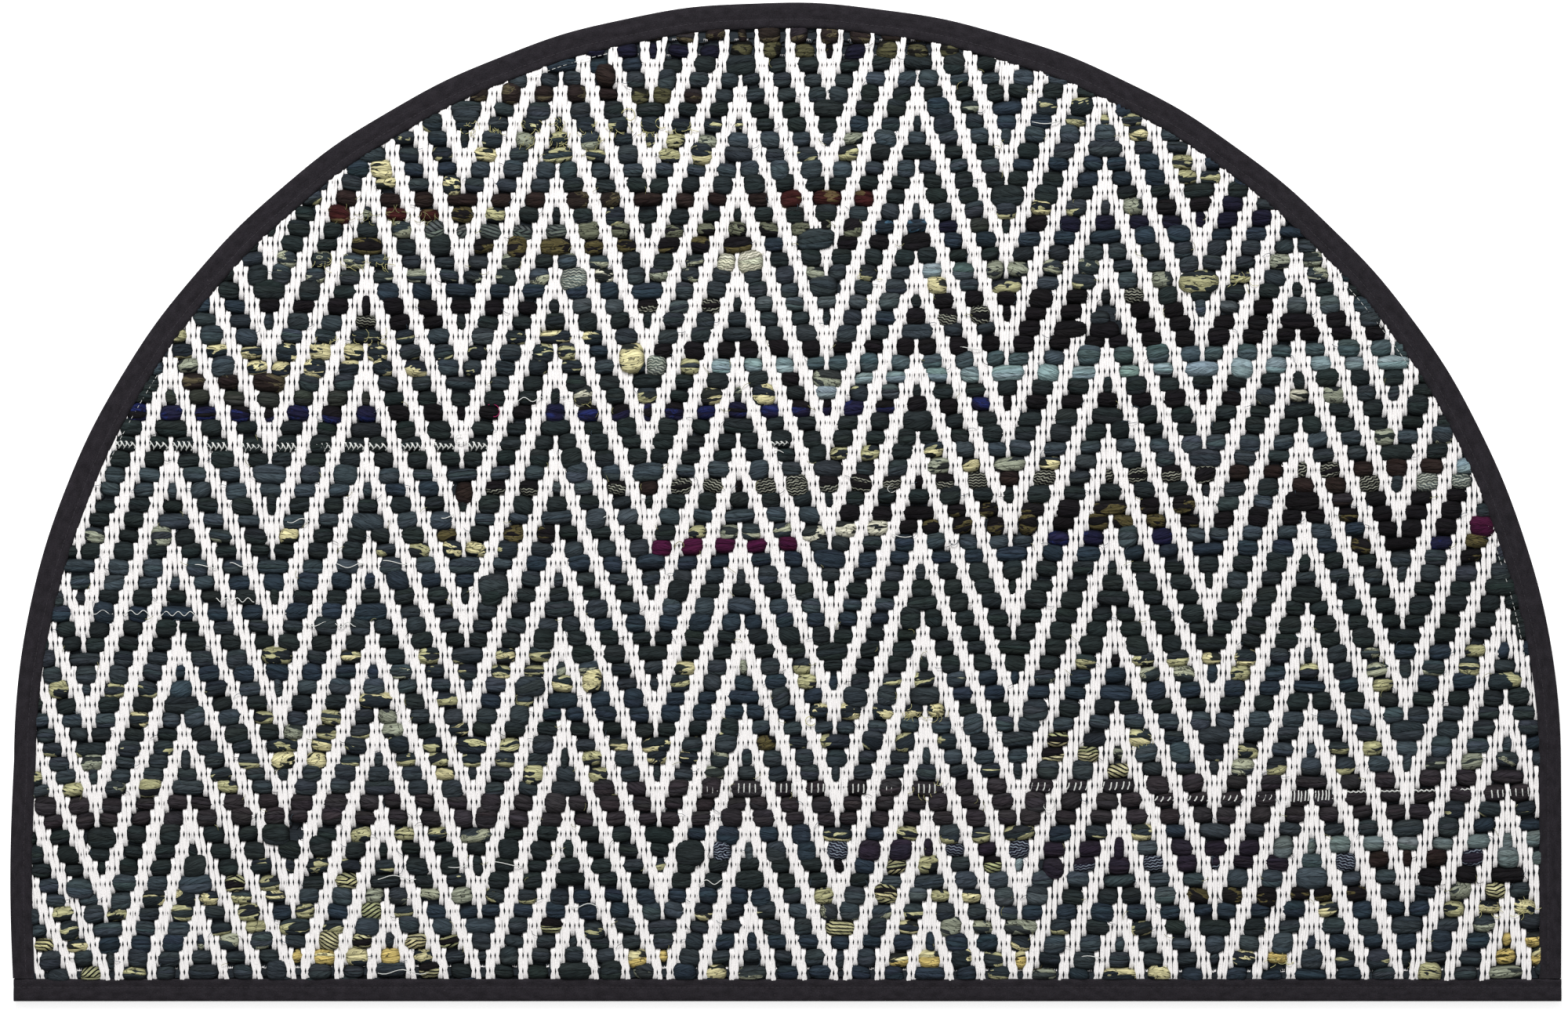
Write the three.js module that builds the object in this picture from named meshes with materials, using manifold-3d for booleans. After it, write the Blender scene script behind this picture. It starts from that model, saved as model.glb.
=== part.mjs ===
// A half-moon rag rug: rag picks woven through a white cotton warp, the cut edge bound in dark tape.
// Millimetres, +Z up. The rug lies flat, its straight edge towards -Y and its arc towards +Y.
// The outline is drawn with the straight edge on y = 0, and the finished rug is then centred on the origin.

import * as THREE from 'three';
import { mergeVertices } from 'three/addons/utils/BufferGeometryUtils.js';
import Module from 'manifold-3d';

// Outline of the whole rug
const RUG_WIDTH = 900;
const RUG_DEPTH = 580;
const SIDE_RUN = 141; // short run up each side, before the arc starts
const SIDE_STEPS = 6;
const LEFT_BULGE = 2.2; // how far each side bows out, halfway up
const RIGHT_BULGE = 0.3;
const ARC_STEPS = 60;

// Where the cut wanders off a true half ellipse: the place along the arc in degrees from its right end,
// how far out the cloth reaches there, and over how many degrees that fades away
const WANDERS = [
  { at: 22, reach: -1.9, spread: 14 },
  { at: 46, reach: -1.8, spread: 12 },
  { at: 100, reach: 1.7, spread: 18 },
  { at: 126, reach: 0.6, spread: 7 },
];
const RIPPLE = 0.3; // fine unevenness that the seam leaves along the arc
const RIPPLE_DEGREES = 9.5; // from one ripple to the next

// Binding tape, folded over the cut edge
const TAPE = 1.2; // thickness of one leaf
const BINDING_HEIGHT = 6;
const STRAIGHT_BINDING_WIDTH = 13.2;
const SIDE_BINDING_WIDTH = 13;
const ARC_BINDING_WIDTH = 15;
const WIDENING_DEGREES = 20; // the tape grows from the side's width to the arc's over this much of the arc
const FOLD_ROUNDING = 1;
const GAP = 0.3; // clearance between pieces

// Woven field
const CREST_HEIGHT = 7; // top of a rag pick
const DIP_HEIGHT = 5.4; // dip between two picks
const SHOULDER = 3; // the cloth swells from its sewn rim to full thickness over this width
const SHOULDER_START = 0.5; // and starts to swell this far inside the tape

// Picks: number 0 crosses the middle of the rug, and the numbers grow towards the straight edge
const FIRST_PICK = -38;
const LAST_PICK = 30;
const BEAT = 30; // the terms below give the change of height over this many picks
const ACROSS_STEPS = 12;

// Height of a pick over the straight edge, as terms in powers of x over half the width:
// where pick 0 lies, how that changes over one beat, and how the change itself grows
const PICK_TERMS = [
  { power: 0, level: 248, change: -264.7, growth: -2.6 },
  { power: 1, level: 8.5, change: -5.9, growth: -10.3 },
  { power: 2, level: 4.2, change: -5.5, growth: 0 },
  { power: 3, level: 0, change: 6.5, growth: 0 },
];

// One rib, as the share of a pick's spacing and the share of the full rise
const RIB_PROFILE = [
  { phase: -0.5, rise: 0 },
  { phase: -0.25, rise: 0.87 },
  { phase: 0, rise: 1 },
  { phase: 0.25, rise: 0.87 },
];

const WOVEN_RAG = new THREE.MeshStandardMaterial({ color: 0x7b7f80, roughness: 0.95, metalness: 0 });
const DARK_TAPE = new THREE.MeshStandardMaterial({ color: 0x2c292d, roughness: 0.9, metalness: 0 });

const HALF_WIDTH = RUG_WIDTH / 2;
const ARC_RISE = RUG_DEPTH - SIDE_RUN;
const RIM_INSET = TAPE + GAP; // the field's cut edge stands this far inside the fold
const RIM_BOTTOM = TAPE + GAP;
const RIM_TOP = BINDING_HEIGHT - TAPE - GAP;

const wasm = await Module();
wasm.setup();

// How far the cut lies outside a true half ellipse
function wander(degrees) {
  const fade = Math.sin(THREE.MathUtils.degToRad(degrees));
  let out = RIPPLE * fade * Math.sin((2 * Math.PI * degrees) / RIPPLE_DEGREES);
  for (const { at, reach, spread } of WANDERS) {
    out += reach * Math.exp(-(((degrees - at) / spread) ** 2));
  }
  return out;
}

function arcBindingWidth(degrees) {
  const fromEnd = Math.min(degrees, 180 - degrees);
  const share = THREE.MathUtils.smoothstep(fromEnd, 0, WIDENING_DEGREES);
  return THREE.MathUtils.lerp(SIDE_BINDING_WIDTH, ARC_BINDING_WIDTH, share);
}

// A station is a point of the outline, its outward direction and the width of the tape there
function arcStation(degrees) {
  const angle = THREE.MathUtils.degToRad(degrees);
  const out = new THREE.Vector2(ARC_RISE * Math.cos(angle), HALF_WIDTH * Math.sin(angle)).normalize();
  const point = new THREE.Vector2(HALF_WIDTH * Math.cos(angle), SIDE_RUN + ARC_RISE * Math.sin(angle));
  point.addScaledVector(out, wander(degrees));
  return { point, out, width: arcBindingWidth(degrees) };
}

// Up one side to the end of the arc, bowing out a little
function sideStations(arcEnd, bulge, startHeight) {
  const stations = [];
  for (let i = 0; i < SIDE_STEPS; i += 1) {
    const y = THREE.MathUtils.lerp(startHeight, SIDE_RUN, i / SIDE_STEPS);
    const bow = bulge * Math.sin((Math.PI * y) / SIDE_RUN);
    const x = arcEnd.point.x + bow * Math.sign(arcEnd.point.x);
    stations.push({ ...arcEnd, point: new THREE.Vector2(x, y) });
  }
  return stations;
}

// Up the right side from the given height, over the arc and down the left side
function curvedEdge(startHeight) {
  const arc = [];
  for (let i = 0; i <= ARC_STEPS; i += 1) {
    arc.push(arcStation((180 * i) / ARC_STEPS));
  }
  const rightSide = sideStations(arc[0], RIGHT_BULGE, startHeight);
  const leftSide = sideStations(arc[ARC_STEPS], LEFT_BULGE, startHeight).reverse();
  return [...rightSide, ...arc, ...leftSide];
}

function straightEdge() {
  const out = new THREE.Vector2(0, -1);
  const ends = [arcStation(180).point.x, arcStation(0).point.x];
  return ends.map((x) => ({ point: new THREE.Vector2(x, 0), out, width: STRAIGHT_BINDING_WIDTH }));
}

// The whole outline, drawn in by an amount that may depend on the tape's width
function insetOutline(insetFor) {
  const bottom = insetFor(STRAIGHT_BINDING_WIDTH);
  const drawnIn = ({ point, out, width }) => point.clone().addScaledVector(out, -insetFor(width));
  return curvedEdge(bottom).map(drawnIn);
}

// Closed solid through rings of equal length, capped by two flat faces that follow capOutline
function loft(rings, capOutline) {
  const count = rings[0].length;
  const positions = rings.flatMap((ring) => ring.flatMap((point) => point.toArray()));
  const index = [];
  for (let start = 0; start < (rings.length - 1) * count; start += count) {
    for (let i = 0; i < count; i += 1) {
      const near = start + i;
      const next = start + ((i + 1) % count);
      index.push(near, next, next + count);
      index.push(near, next + count, near + count);
    }
  }
  const lastRing = (rings.length - 1) * count;
  for (const [a, b, c] of THREE.ShapeUtils.triangulateShape(capOutline, [])) {
    index.push(a, c, b);
    index.push(lastRing + a, lastRing + b, lastRing + c);
  }
  return indexedGeometry(positions, index);
}

function indexedGeometry(positions, index) {
  const geometry = new THREE.BufferGeometry();
  geometry.setAttribute('position', new THREE.Float32BufferAttribute(positions, 3));
  geometry.setIndex(index);
  geometry.computeVertexNormals();
  return geometry;
}

// Cross-section of the folded tape: x is the distance in from the fold, y the height
function tapeSection(width) {
  return [
    [FOLD_ROUNDING, 0],
    [width, 0],
    [width, TAPE],
    [TAPE, TAPE],
    [TAPE, BINDING_HEIGHT - TAPE],
    [width, BINDING_HEIGHT - TAPE],
    [width, BINDING_HEIGHT],
    [FOLD_ROUNDING, BINDING_HEIGHT],
    [0, BINDING_HEIGHT - FOLD_ROUNDING],
    [0, FOLD_ROUNDING],
  ].map(([x, y]) => new THREE.Vector2(x, y));
}

// Tape folded over an edge that runs through the given stations
function foldedTape(stations) {
  const rings = stations.map(({ point, out, width }) =>
    tapeSection(width).map((corner) => {
      const place = point.clone().addScaledVector(out, -corner.x);
      return new THREE.Vector3(place.x, place.y, corner.y);
    }),
  );
  return loft(rings, tapeSection(stations[0].width));
}

function pickHeight(pick, x) {
  const beats = pick / BEAT;
  let height = 0;
  for (const { power, level, change, growth } of PICK_TERMS) {
    height += (level + change * beats + growth * beats ** 2) * (x / HALF_WIDTH) ** power;
  }
  return height;
}

// Slab larger than the rug, whose top rises over every pick and dips between picks
function ribbedSlab() {
  const reach = HALF_WIDTH + SHOULDER;
  const rings = [];
  for (let pick = LAST_PICK; pick >= FIRST_PICK; pick -= 1) {
    for (const { phase, rise } of RIB_PROFILE) {
      const z = THREE.MathUtils.lerp(DIP_HEIGHT, CREST_HEIGHT, rise);
      const top = [];
      for (let i = 0; i <= ACROSS_STEPS; i += 1) {
        const x = THREE.MathUtils.lerp(-reach, reach, i / ACROSS_STEPS);
        top.push(new THREE.Vector3(x, pickHeight(pick - phase, x), z));
      }
      const under = [top[ACROSS_STEPS], top[0]].map((end) => new THREE.Vector3(end.x, end.y, -GAP));
      rings.push([...top, ...under]);
    }
  }
  return loft(rings, rings[0].map(({ x, z }) => new THREE.Vector2(-x, z)));
}

// Half moon as far as the tape leaves room: full height inside, drawn in to a thin rim between the leaves
function thinnedHalfMoon() {
  const atRim = () => RIM_INSET;
  const byTape = (width) => width + SHOULDER_START;
  const inside = (width) => width + SHOULDER_START + SHOULDER;
  const levels = [
    { insetFor: inside, z: 0 },
    { insetFor: byTape, z: RIM_BOTTOM },
    { insetFor: atRim, z: RIM_BOTTOM },
    { insetFor: atRim, z: RIM_TOP },
    { insetFor: byTape, z: RIM_TOP },
    { insetFor: inside, z: RIM_TOP + SHOULDER },
  ];
  const rings = levels.map(({ insetFor, z }) =>
    insetOutline(insetFor).map((point) => new THREE.Vector3(point.x, point.y, z)),
  );
  return loft(rings, insetOutline(inside));
}

function toSolid(geometry) {
  const bare = geometry.clone();
  bare.deleteAttribute('normal');
  const merged = mergeVertices(bare);
  const vertProperties = merged.attributes.position.array;
  const triVerts = new Uint32Array(merged.index.array);
  return new wasm.Manifold(new wasm.Mesh({ numProp: 3, vertProperties, triVerts }));
}

function fromSolid(solid) {
  const { vertProperties, triVerts } = solid.getMesh();
  return indexedGeometry(Array.from(vertProperties), Array.from(triVerts));
}

function wovenField() {
  return fromSolid(toSolid(thinnedHalfMoon()).intersect(toSolid(ribbedSlab())));
}

function arcBinding() {
  return foldedTape(curvedEdge(STRAIGHT_BINDING_WIDTH + GAP));
}

function straightBinding() {
  return foldedTape(straightEdge());
}

// Shift that brings the middle of the outline onto the origin
function centring() {
  const box = new THREE.Box2().setFromPoints(curvedEdge(0).map(({ point }) => point));
  const middle = box.getCenter(new THREE.Vector2());
  return new THREE.Vector3(-middle.x, -middle.y, 0);
}

function namedMesh(name, geometry, material) {
  const mesh = new THREE.Mesh(geometry, material);
  mesh.name = name;
  return mesh;
}

const rug = new THREE.Group();
rug.add(namedMesh('woven_field', wovenField(), WOVEN_RAG));
rug.add(namedMesh('arc_binding', arcBinding(), DARK_TAPE));
rug.add(namedMesh('straight_binding', straightBinding(), DARK_TAPE));
rug.position.copy(centring());

export default rug;
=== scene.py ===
"""Looks of the half-moon chindi rug: rag picks and cotton warp woven in zigzags, bound in dark tape.

Lengths are in millimetres until a piece is made. x runs along the straight edge from its middle, height
is measured from the straight edge towards the top of the arc, and z is up from the floor.
"""
import math

import bpy
import numpy as np
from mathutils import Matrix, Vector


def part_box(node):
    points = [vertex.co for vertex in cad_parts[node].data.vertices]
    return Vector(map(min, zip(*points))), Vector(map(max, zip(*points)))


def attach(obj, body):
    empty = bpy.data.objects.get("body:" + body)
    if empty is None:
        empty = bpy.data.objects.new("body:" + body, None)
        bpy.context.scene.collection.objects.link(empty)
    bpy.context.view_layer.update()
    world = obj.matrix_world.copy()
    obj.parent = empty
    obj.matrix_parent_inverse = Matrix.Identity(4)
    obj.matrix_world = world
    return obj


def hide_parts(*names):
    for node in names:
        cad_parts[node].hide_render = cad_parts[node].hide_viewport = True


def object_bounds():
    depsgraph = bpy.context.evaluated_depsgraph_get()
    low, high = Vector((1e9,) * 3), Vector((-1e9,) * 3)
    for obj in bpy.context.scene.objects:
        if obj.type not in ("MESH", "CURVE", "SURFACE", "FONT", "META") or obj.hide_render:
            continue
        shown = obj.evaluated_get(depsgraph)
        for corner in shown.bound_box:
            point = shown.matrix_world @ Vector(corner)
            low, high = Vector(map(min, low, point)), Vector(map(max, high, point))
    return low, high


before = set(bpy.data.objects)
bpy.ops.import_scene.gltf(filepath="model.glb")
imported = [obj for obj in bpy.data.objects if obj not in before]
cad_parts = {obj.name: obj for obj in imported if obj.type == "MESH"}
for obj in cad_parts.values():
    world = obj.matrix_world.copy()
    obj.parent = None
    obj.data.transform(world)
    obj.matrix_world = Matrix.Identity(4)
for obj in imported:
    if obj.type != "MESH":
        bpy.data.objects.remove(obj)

cad_low, cad_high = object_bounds()
MM = 0.001
rng = np.random.default_rng(20)

# Outline, as the solids have it
HALF_WIDTH = 450.0
SIDE_RUN = 141.0
ARC_RISE = 439.0
LEFT_BULGE = 2.2
RIGHT_BULGE = 0.3
RIPPLE = 0.3
RIPPLE_DEGREES = 9.5
# Place along the arc in degrees, reach outwards, spread in degrees
WANDERS = (
    (22, -1.9, 14),
    (46, -1.8, 12),
    (100, 1.7, 18),
    (126, 0.6, 7),
)

# Binding tape
TAPE = 1.2
BINDING_HEIGHT = 6.0
STRAIGHT_TAPE = 13.2
SIDE_TAPE = 13.0
ARC_TAPE = 15.0
WIDENING_DEGREES = 20.0
GAP = 0.3

# Weave
REPEAT_UNITS = 34  # warp units from one peak to the next
PICKS_IN_DRAFT = 6
RAG_PICKS_UP = 3
WARP_PICKS_UP = PICKS_IN_DRAFT - RAG_PICKS_UP
FIRST_PICK, LAST_PICK = -37, 28
FIRST_UNIT, LAST_UNIT = -146, 146
FIRST_TURN_X = -444.0
# Widths at the straight edge, from one turn of the zigzag to the next
HALF_ZIGZAGS = (53, 53, 55, 54, 53, 53, 52, 51, 51, 52, 52, 58, 55, 56, 55, 58)
YARN_ROOM = 0.79  # share of a run's even width that its yarns leave uncovered
BUNCHING = 0.88  # yarns crowd to this share of their even spacing

# Height of a pick, as terms in powers of x over half the width. The columns are the power, the term at
# pick 0, its change over one beat of picks, and how that change grows.
BEAT = 30
PICK_TERMS = (
    (0, 248.0, -264.7, -2.6),
    (1, 8.5, -5.9, -10.3),
    (2, 4.2, -5.5, 0.0),
    (3, 0.0, 6.5, 0.0),
)
# Pick, spread in picks, x, spread in x, rise
PICK_BUMPS = (
    (14.8, 3.2, -330, 190, 3.8),
)
# Reach, length along a pick, turn from one pick to the next
ROW_SWAYS = (
    (0.34, 52.0, 2.4),
    (0.24, 21.0, 4.1),
)

# How the zigzag columns lean and fan out, as terms in powers of their share of the whole height
HALF_UNITS = 140.0  # from the middle column to a side
LEAN_TERMS = (-14.4, -15.2, 24.0)
FAN_TERMS = (46.6, -47.0)
FAN_CURVE = -12.0
# Columns right of the middle sway to the left round one height
SWAY_HEIGHT = 320.0
SWAY_SPREAD = 130.0
SWAY_LEFT = 1.6
SWAY_STARTS, SWAY_IS_FULL = 0.0, 0.4  # shares of half the width

CREST = 7.0
FLOOR_GIVE = 0.6  # how softly the underside settles on the floor


def wander(degrees):
    """How far the cut reaches past a true half ellipse."""
    fade = np.sin(np.radians(degrees))
    out = RIPPLE * fade * np.sin(2 * np.pi * degrees / RIPPLE_DEGREES)
    for at, reach, spread in WANDERS:
        out = out + reach * np.exp(-(((degrees - at) / spread) ** 2))
    return out


def smoothstep(low, high, value):
    """Soft rise from 0 at the low value to 1 at the high one."""
    share = np.clip((value - low) / (high - low), 0, 1)
    return share * share * (3 - 2 * share)


def arc_degrees(x, height):
    """Place along the arc of the nearest edge, from 0 at the right to 180 at the left."""
    return np.degrees(np.arctan2(np.maximum(height - SIDE_RUN, 0) / ARC_RISE, x / HALF_WIDTH))


def side_depth(x, height):
    """How far a point lies inside the sides and the arc."""
    degrees = arc_degrees(x, height)
    angle = np.radians(degrees)
    across, up = x / HALF_WIDTH, np.maximum(height - SIDE_RUN, 0) / ARC_RISE
    radius = np.hypot(HALF_WIDTH * np.cos(angle), ARC_RISE * np.sin(angle))
    in_arc = (1 - np.hypot(across, up)) * radius + wander(degrees)
    bulge = np.where(x < 0, LEFT_BULGE, RIGHT_BULGE)
    bow = bulge * np.sin(np.pi * np.clip(height / SIDE_RUN, 0, 1))
    return in_arc + bow


def side_tape_width(x, height):
    """Width of the arc's tape, which is narrower along the sides."""
    degrees = arc_degrees(x, height)
    share = smoothstep(0, WIDENING_DEGREES, np.minimum(degrees, 180 - degrees))
    return SIDE_TAPE + (ARC_TAPE - SIDE_TAPE) * share


def inside_tape(x, height):
    """How far a point lies inside the tape's inner edge."""
    return np.minimum(side_depth(x, height) - side_tape_width(x, height), height - STRAIGHT_TAPE)


def inside_rim(x, height):
    """How far a point lies inside the sewn rim, which the tape is folded over."""
    return np.minimum(side_depth(x, height), height) - TAPE - GAP


def pick_height(pick, x):
    """Height of a pick's middle at x. A pick may be a fraction, between two."""
    beats = pick / BEAT
    height = 0.0
    for power, level, change, growth in PICK_TERMS:
        height = height + (level + change * beats + growth * beats**2) * (x / HALF_WIDTH) ** power
    for at, spread, x_at, x_spread, rise in PICK_BUMPS:
        height = height + rise * np.exp(-(((pick - at) / spread) ** 2) - ((x - x_at) / x_spread) ** 2)
    low = np.floor(pick)
    share = pick - low
    for reach, length, turn in ROW_SWAYS:
        here = np.sin(x / length + turn * low)
        above = np.sin(x / length + turn * (low + 1))
        height = height + reach * (here * (1 - share) + above * share)
    return height


TURNS = FIRST_TURN_X + np.concatenate([[0], np.cumsum(HALF_ZIGZAGS)])
TURN_UNITS = (np.arange(len(TURNS)) - len(TURNS) // 2) * REPEAT_UNITS // 2
CROSSING_ROUNDS = 3


def unit_foot(unit):
    """Where a warp unit meets the straight edge."""
    first, last = TURNS[1] - TURNS[0], TURNS[-1] - TURNS[-2]
    half = REPEAT_UNITS / 2
    inside = np.interp(unit, TURN_UNITS, TURNS)
    before = TURNS[0] + (unit - TURN_UNITS[0]) * first / half
    after = TURNS[-1] + (unit - TURN_UNITS[-1]) * last / half
    return np.where(unit < TURN_UNITS[0], before, np.where(unit > TURN_UNITS[-1], after, inside))


def unit_x(unit, height):
    """x of a warp unit at a height."""
    up = height / (SIDE_RUN + ARC_RISE)
    out = unit / HALF_UNITS
    lean = LEAN_TERMS[0] * up + LEAN_TERMS[1] * up**2 + LEAN_TERMS[2] * up**3
    fan = (FAN_TERMS[0] * up + FAN_TERMS[1] * up**2) * out + FAN_CURVE * up * out**2
    near = np.exp(-(((height - SWAY_HEIGHT) / SWAY_SPREAD) ** 2))
    left = SWAY_LEFT * smoothstep(SWAY_STARTS, SWAY_IS_FULL, out) * near
    return unit_foot(unit) + lean + fan - left


def crossing(unit, pick):
    """(x, height) where a warp unit crosses a pick, closing in on it from the unit's foot."""
    x = unit_foot(unit)
    for _ in range(CROSSING_ROUNDS):
        x = unit_x(unit, pick_height(pick, x))
    return x, pick_height(pick, x)


def rag_shows(unit, pick):
    """If the rag, and not the warp, lies on top where a unit crosses a pick."""
    to_peak = np.abs((unit + REPEAT_UNITS // 2) % REPEAT_UNITS - REPEAT_UNITS // 2)
    return (pick - to_peak) % PICKS_IN_DRAFT < RAG_PICKS_UP


def runs_of(flags):
    """(first, last, flag) of each run of equal flags."""
    cuts = np.flatnonzero(np.diff(flags.astype(int))) + 1
    starts = np.concatenate([[0], cuts])
    ends = np.concatenate([cuts, [len(flags)]]) - 1
    return [(int(a), int(b), bool(flags[a])) for a, b in zip(starts, ends)]


def weave(top):
    """Rag floats and yarn floats that show on one face.

    A rag float is (pick, left x, right x, bulge). A yarn float is (unit, first pick, last pick), and
    yarn_x gives where each unit's yarns lie at each pick, crowded towards the middle of their run.
    """
    units = np.arange(FIRST_UNIT, LAST_UNIT + 1)
    picks = np.arange(FIRST_PICK, LAST_PICK + 1)
    shows = rag_shows(units[None, :], picks[:, None]) == top
    yarn_x = np.zeros(shows.shape)
    rag_floats = []
    for row, pick in enumerate(picks):
        even_x, _ = crossing(units.astype(float), float(pick))
        pitch = np.gradient(even_x)
        runs = runs_of(shows[row])
        spans = []
        for first, last, rag in runs:
            middle = (even_x[first] + even_x[last]) / 2
            spacing = pitch[first:last + 1].mean()
            half = (last - first + 1) / 2 * YARN_ROOM * spacing
            spans.append((middle - half, middle + half))
            offset = np.arange(first, last + 1) - (first + last) / 2
            yarn_x[row, first:last + 1] = middle + offset * BUNCHING * spacing
        for k in range(1, len(runs) - 1):
            if runs[k][2]:
                rag_floats.append((pick, spans[k - 1][1], spans[k + 1][0], 0.0))
    yarn_floats = []
    for column, unit in enumerate(units):
        for first, last, rag in runs_of(shows[:, column]):
            if not rag and first > 0 and last < len(picks) - 1:
                yarn_floats.append((column, first, last))
    return np.array(rag_floats), np.array(yarn_floats), yarn_x


def grid_quads(grids, rows, columns):
    """Faces of several grids of points, each stored row by row."""
    base = np.arange(rows - 1)[:, None] * columns + np.arange(columns - 1)[None, :]
    quad = np.stack([base, base + 1, base + columns + 1, base + columns], axis=-1).reshape(-1, 4)
    return (np.arange(grids)[:, None, None] * rows * columns + quad[None]).reshape(-1, 4)


def linear(r, g, b):
    """A screen colour of 0 to 255 as linear light."""
    share = np.array([r, g, b]) / 255
    return np.where(share <= 0.04045, share / 12.92, ((share + 0.055) / 1.055) ** 2.4)


def make_piece(name, points, faces, material, colours=None, numbers=None, uv=None):
    """A mesh object from millimetre points, in the frame, riding on the rug's one body."""
    middle_x = (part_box("straight_binding")[0].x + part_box("straight_binding")[1].x) / 2
    place = np.asarray(points, float).reshape(-1, 3) * MM + np.array([middle_x, cad_low[1], 0])
    mesh = bpy.data.meshes.new(name)
    mesh.vertices.add(len(place))
    mesh.vertices.foreach_set("co", place.astype(np.float32).ravel())
    mesh.loops.add(faces.size)
    mesh.loops.foreach_set("vertex_index", faces.astype(np.int32).ravel())
    mesh.polygons.add(len(faces))
    mesh.polygons.foreach_set("loop_start", (np.arange(len(faces)) * faces.shape[1]).astype(np.int32))
    mesh.update(calc_edges=True)
    mesh.shade_smooth()
    for key, value in (colours or {}).items():
        layer = mesh.attributes.new(key, "FLOAT_COLOR", "POINT")
        rgba = np.concatenate([value, np.ones((len(value), 1))], axis=1)
        layer.data.foreach_set("color", rgba.astype(np.float32).ravel())
    for key, value in (numbers or {}).items():
        layer = mesh.attributes.new(key, "FLOAT", "POINT")
        layer.data.foreach_set("value", value.astype(np.float32).ravel())
    if uv is not None:
        layer = mesh.uv_layers.new(name="cloth")
        layer.data.foreach_set("uv", uv[faces.ravel()].astype(np.float32).ravel())
    mesh.materials.append(material)
    piece = bpy.data.objects.new(name, mesh)
    bpy.context.scene.collection.objects.link(piece)
    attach(piece, "root")
    return piece


# Rags


class Cloth:
    """A kind of rag: its ground, its ink, the share under print, and if it is a zigzag knit or lined."""

    def __init__(self, ground, ink=(20, 20, 24), cover=0.0, knit=0.0, lined=0.0):
        self.ground = linear(*ground)
        self.ink = linear(*ink)
        self.cover = cover
        self.knit = knit
        self.lined = lined


OLIVE = (198, 196, 150)
YELLOW = (236, 228, 176)
GOLD = (228, 204, 126)
SAGE = (166, 172, 152)
CREAM = (232, 230, 208)
CLOTHS = {
    "slate": Cloth((55, 63, 68)),
    "blue_slate": Cloth((47, 59, 70)),
    "grey_slate": Cloth((65, 76, 83)),
    "green_black": Cloth((41, 49, 50)),
    "black": Cloth((25, 23, 26)),
    "brown": Cloth((54, 50, 54)),
    "dark_brown": Cloth((46, 36, 34)),
    "aubergine": Cloth((44, 38, 50)),
    "indigo": Cloth((32, 32, 60), (36, 44, 96), 0.4),
    "navy": Cloth((30, 30, 48)),
    "moss": Cloth((58, 62, 58)),
    "grey": Cloth((80, 90, 94)),
    "teal_grey": Cloth((76, 93, 97)),
    "pale_grey": Cloth((144, 166, 170)),
    "sage_grey": Cloth((112, 126, 125)),
    "purple": Cloth((70, 20, 53)),
    "print": Cloth((44, 52, 58), OLIVE, 0.28),
    "faint_print": Cloth((46, 54, 60), OLIVE, 0.1),
    "bright_print": Cloth((42, 50, 56), YELLOW, 0.44),
    "cream_print": Cloth((46, 50, 50), CREAM, 0.55),
    "sage_print": Cloth((56, 64, 68), (186, 190, 164), 0.38),
    "black_print": Cloth((28, 26, 28), (98, 90, 58), 0.48),
    "black_sage": Cloth((30, 30, 32), (118, 122, 102), 0.5),
    "moss_print": Cloth((34, 33, 30), (94, 92, 66), 0.65),
    "blue_print": Cloth((40, 50, 58), (74, 108, 132), 0.5),
    "brown_print": Cloth((44, 37, 35), (92, 84, 64), 0.42),
    "maroon_print": Cloth((64, 29, 29), (104, 88, 60), 0.3),
    "grey_lined": Cloth((100, 108, 104), (44, 48, 50), lined=1.0),
    "olive": Cloth((44, 50, 54), OLIVE, 0.58),
    "yellow": Cloth((48, 52, 50), YELLOW, 0.63),
    "gold": Cloth((84, 74, 44), GOLD, 0.85),
    "sage": Cloth((54, 60, 60), SAGE, 0.6),
    "lined": Cloth(OLIVE, (26, 26, 28), lined=1.0),
    "cream_knit": Cloth(CREAM, (140, 142, 122), knit=1.0),
    "grey_knit": Cloth((96, 104, 102), (190, 196, 182), knit=1.0),
    "zigzag": Cloth((25, 25, 27), (160, 162, 146), knit=1.0),
    "blue_zigzag": Cloth((32, 31, 47), (140, 152, 166), knit=1.0),
}
COMMON = (("slate", 0.38), ("blue_slate", 0.28), ("grey_slate", 0.2), ("green_black", 0.14))
STRIP_LENGTHS = (90.0, 420.0)
FIRST_OVERHANG = 200.0  # the first strip may start this far off the rug
SEEDS = 1000.0

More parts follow.
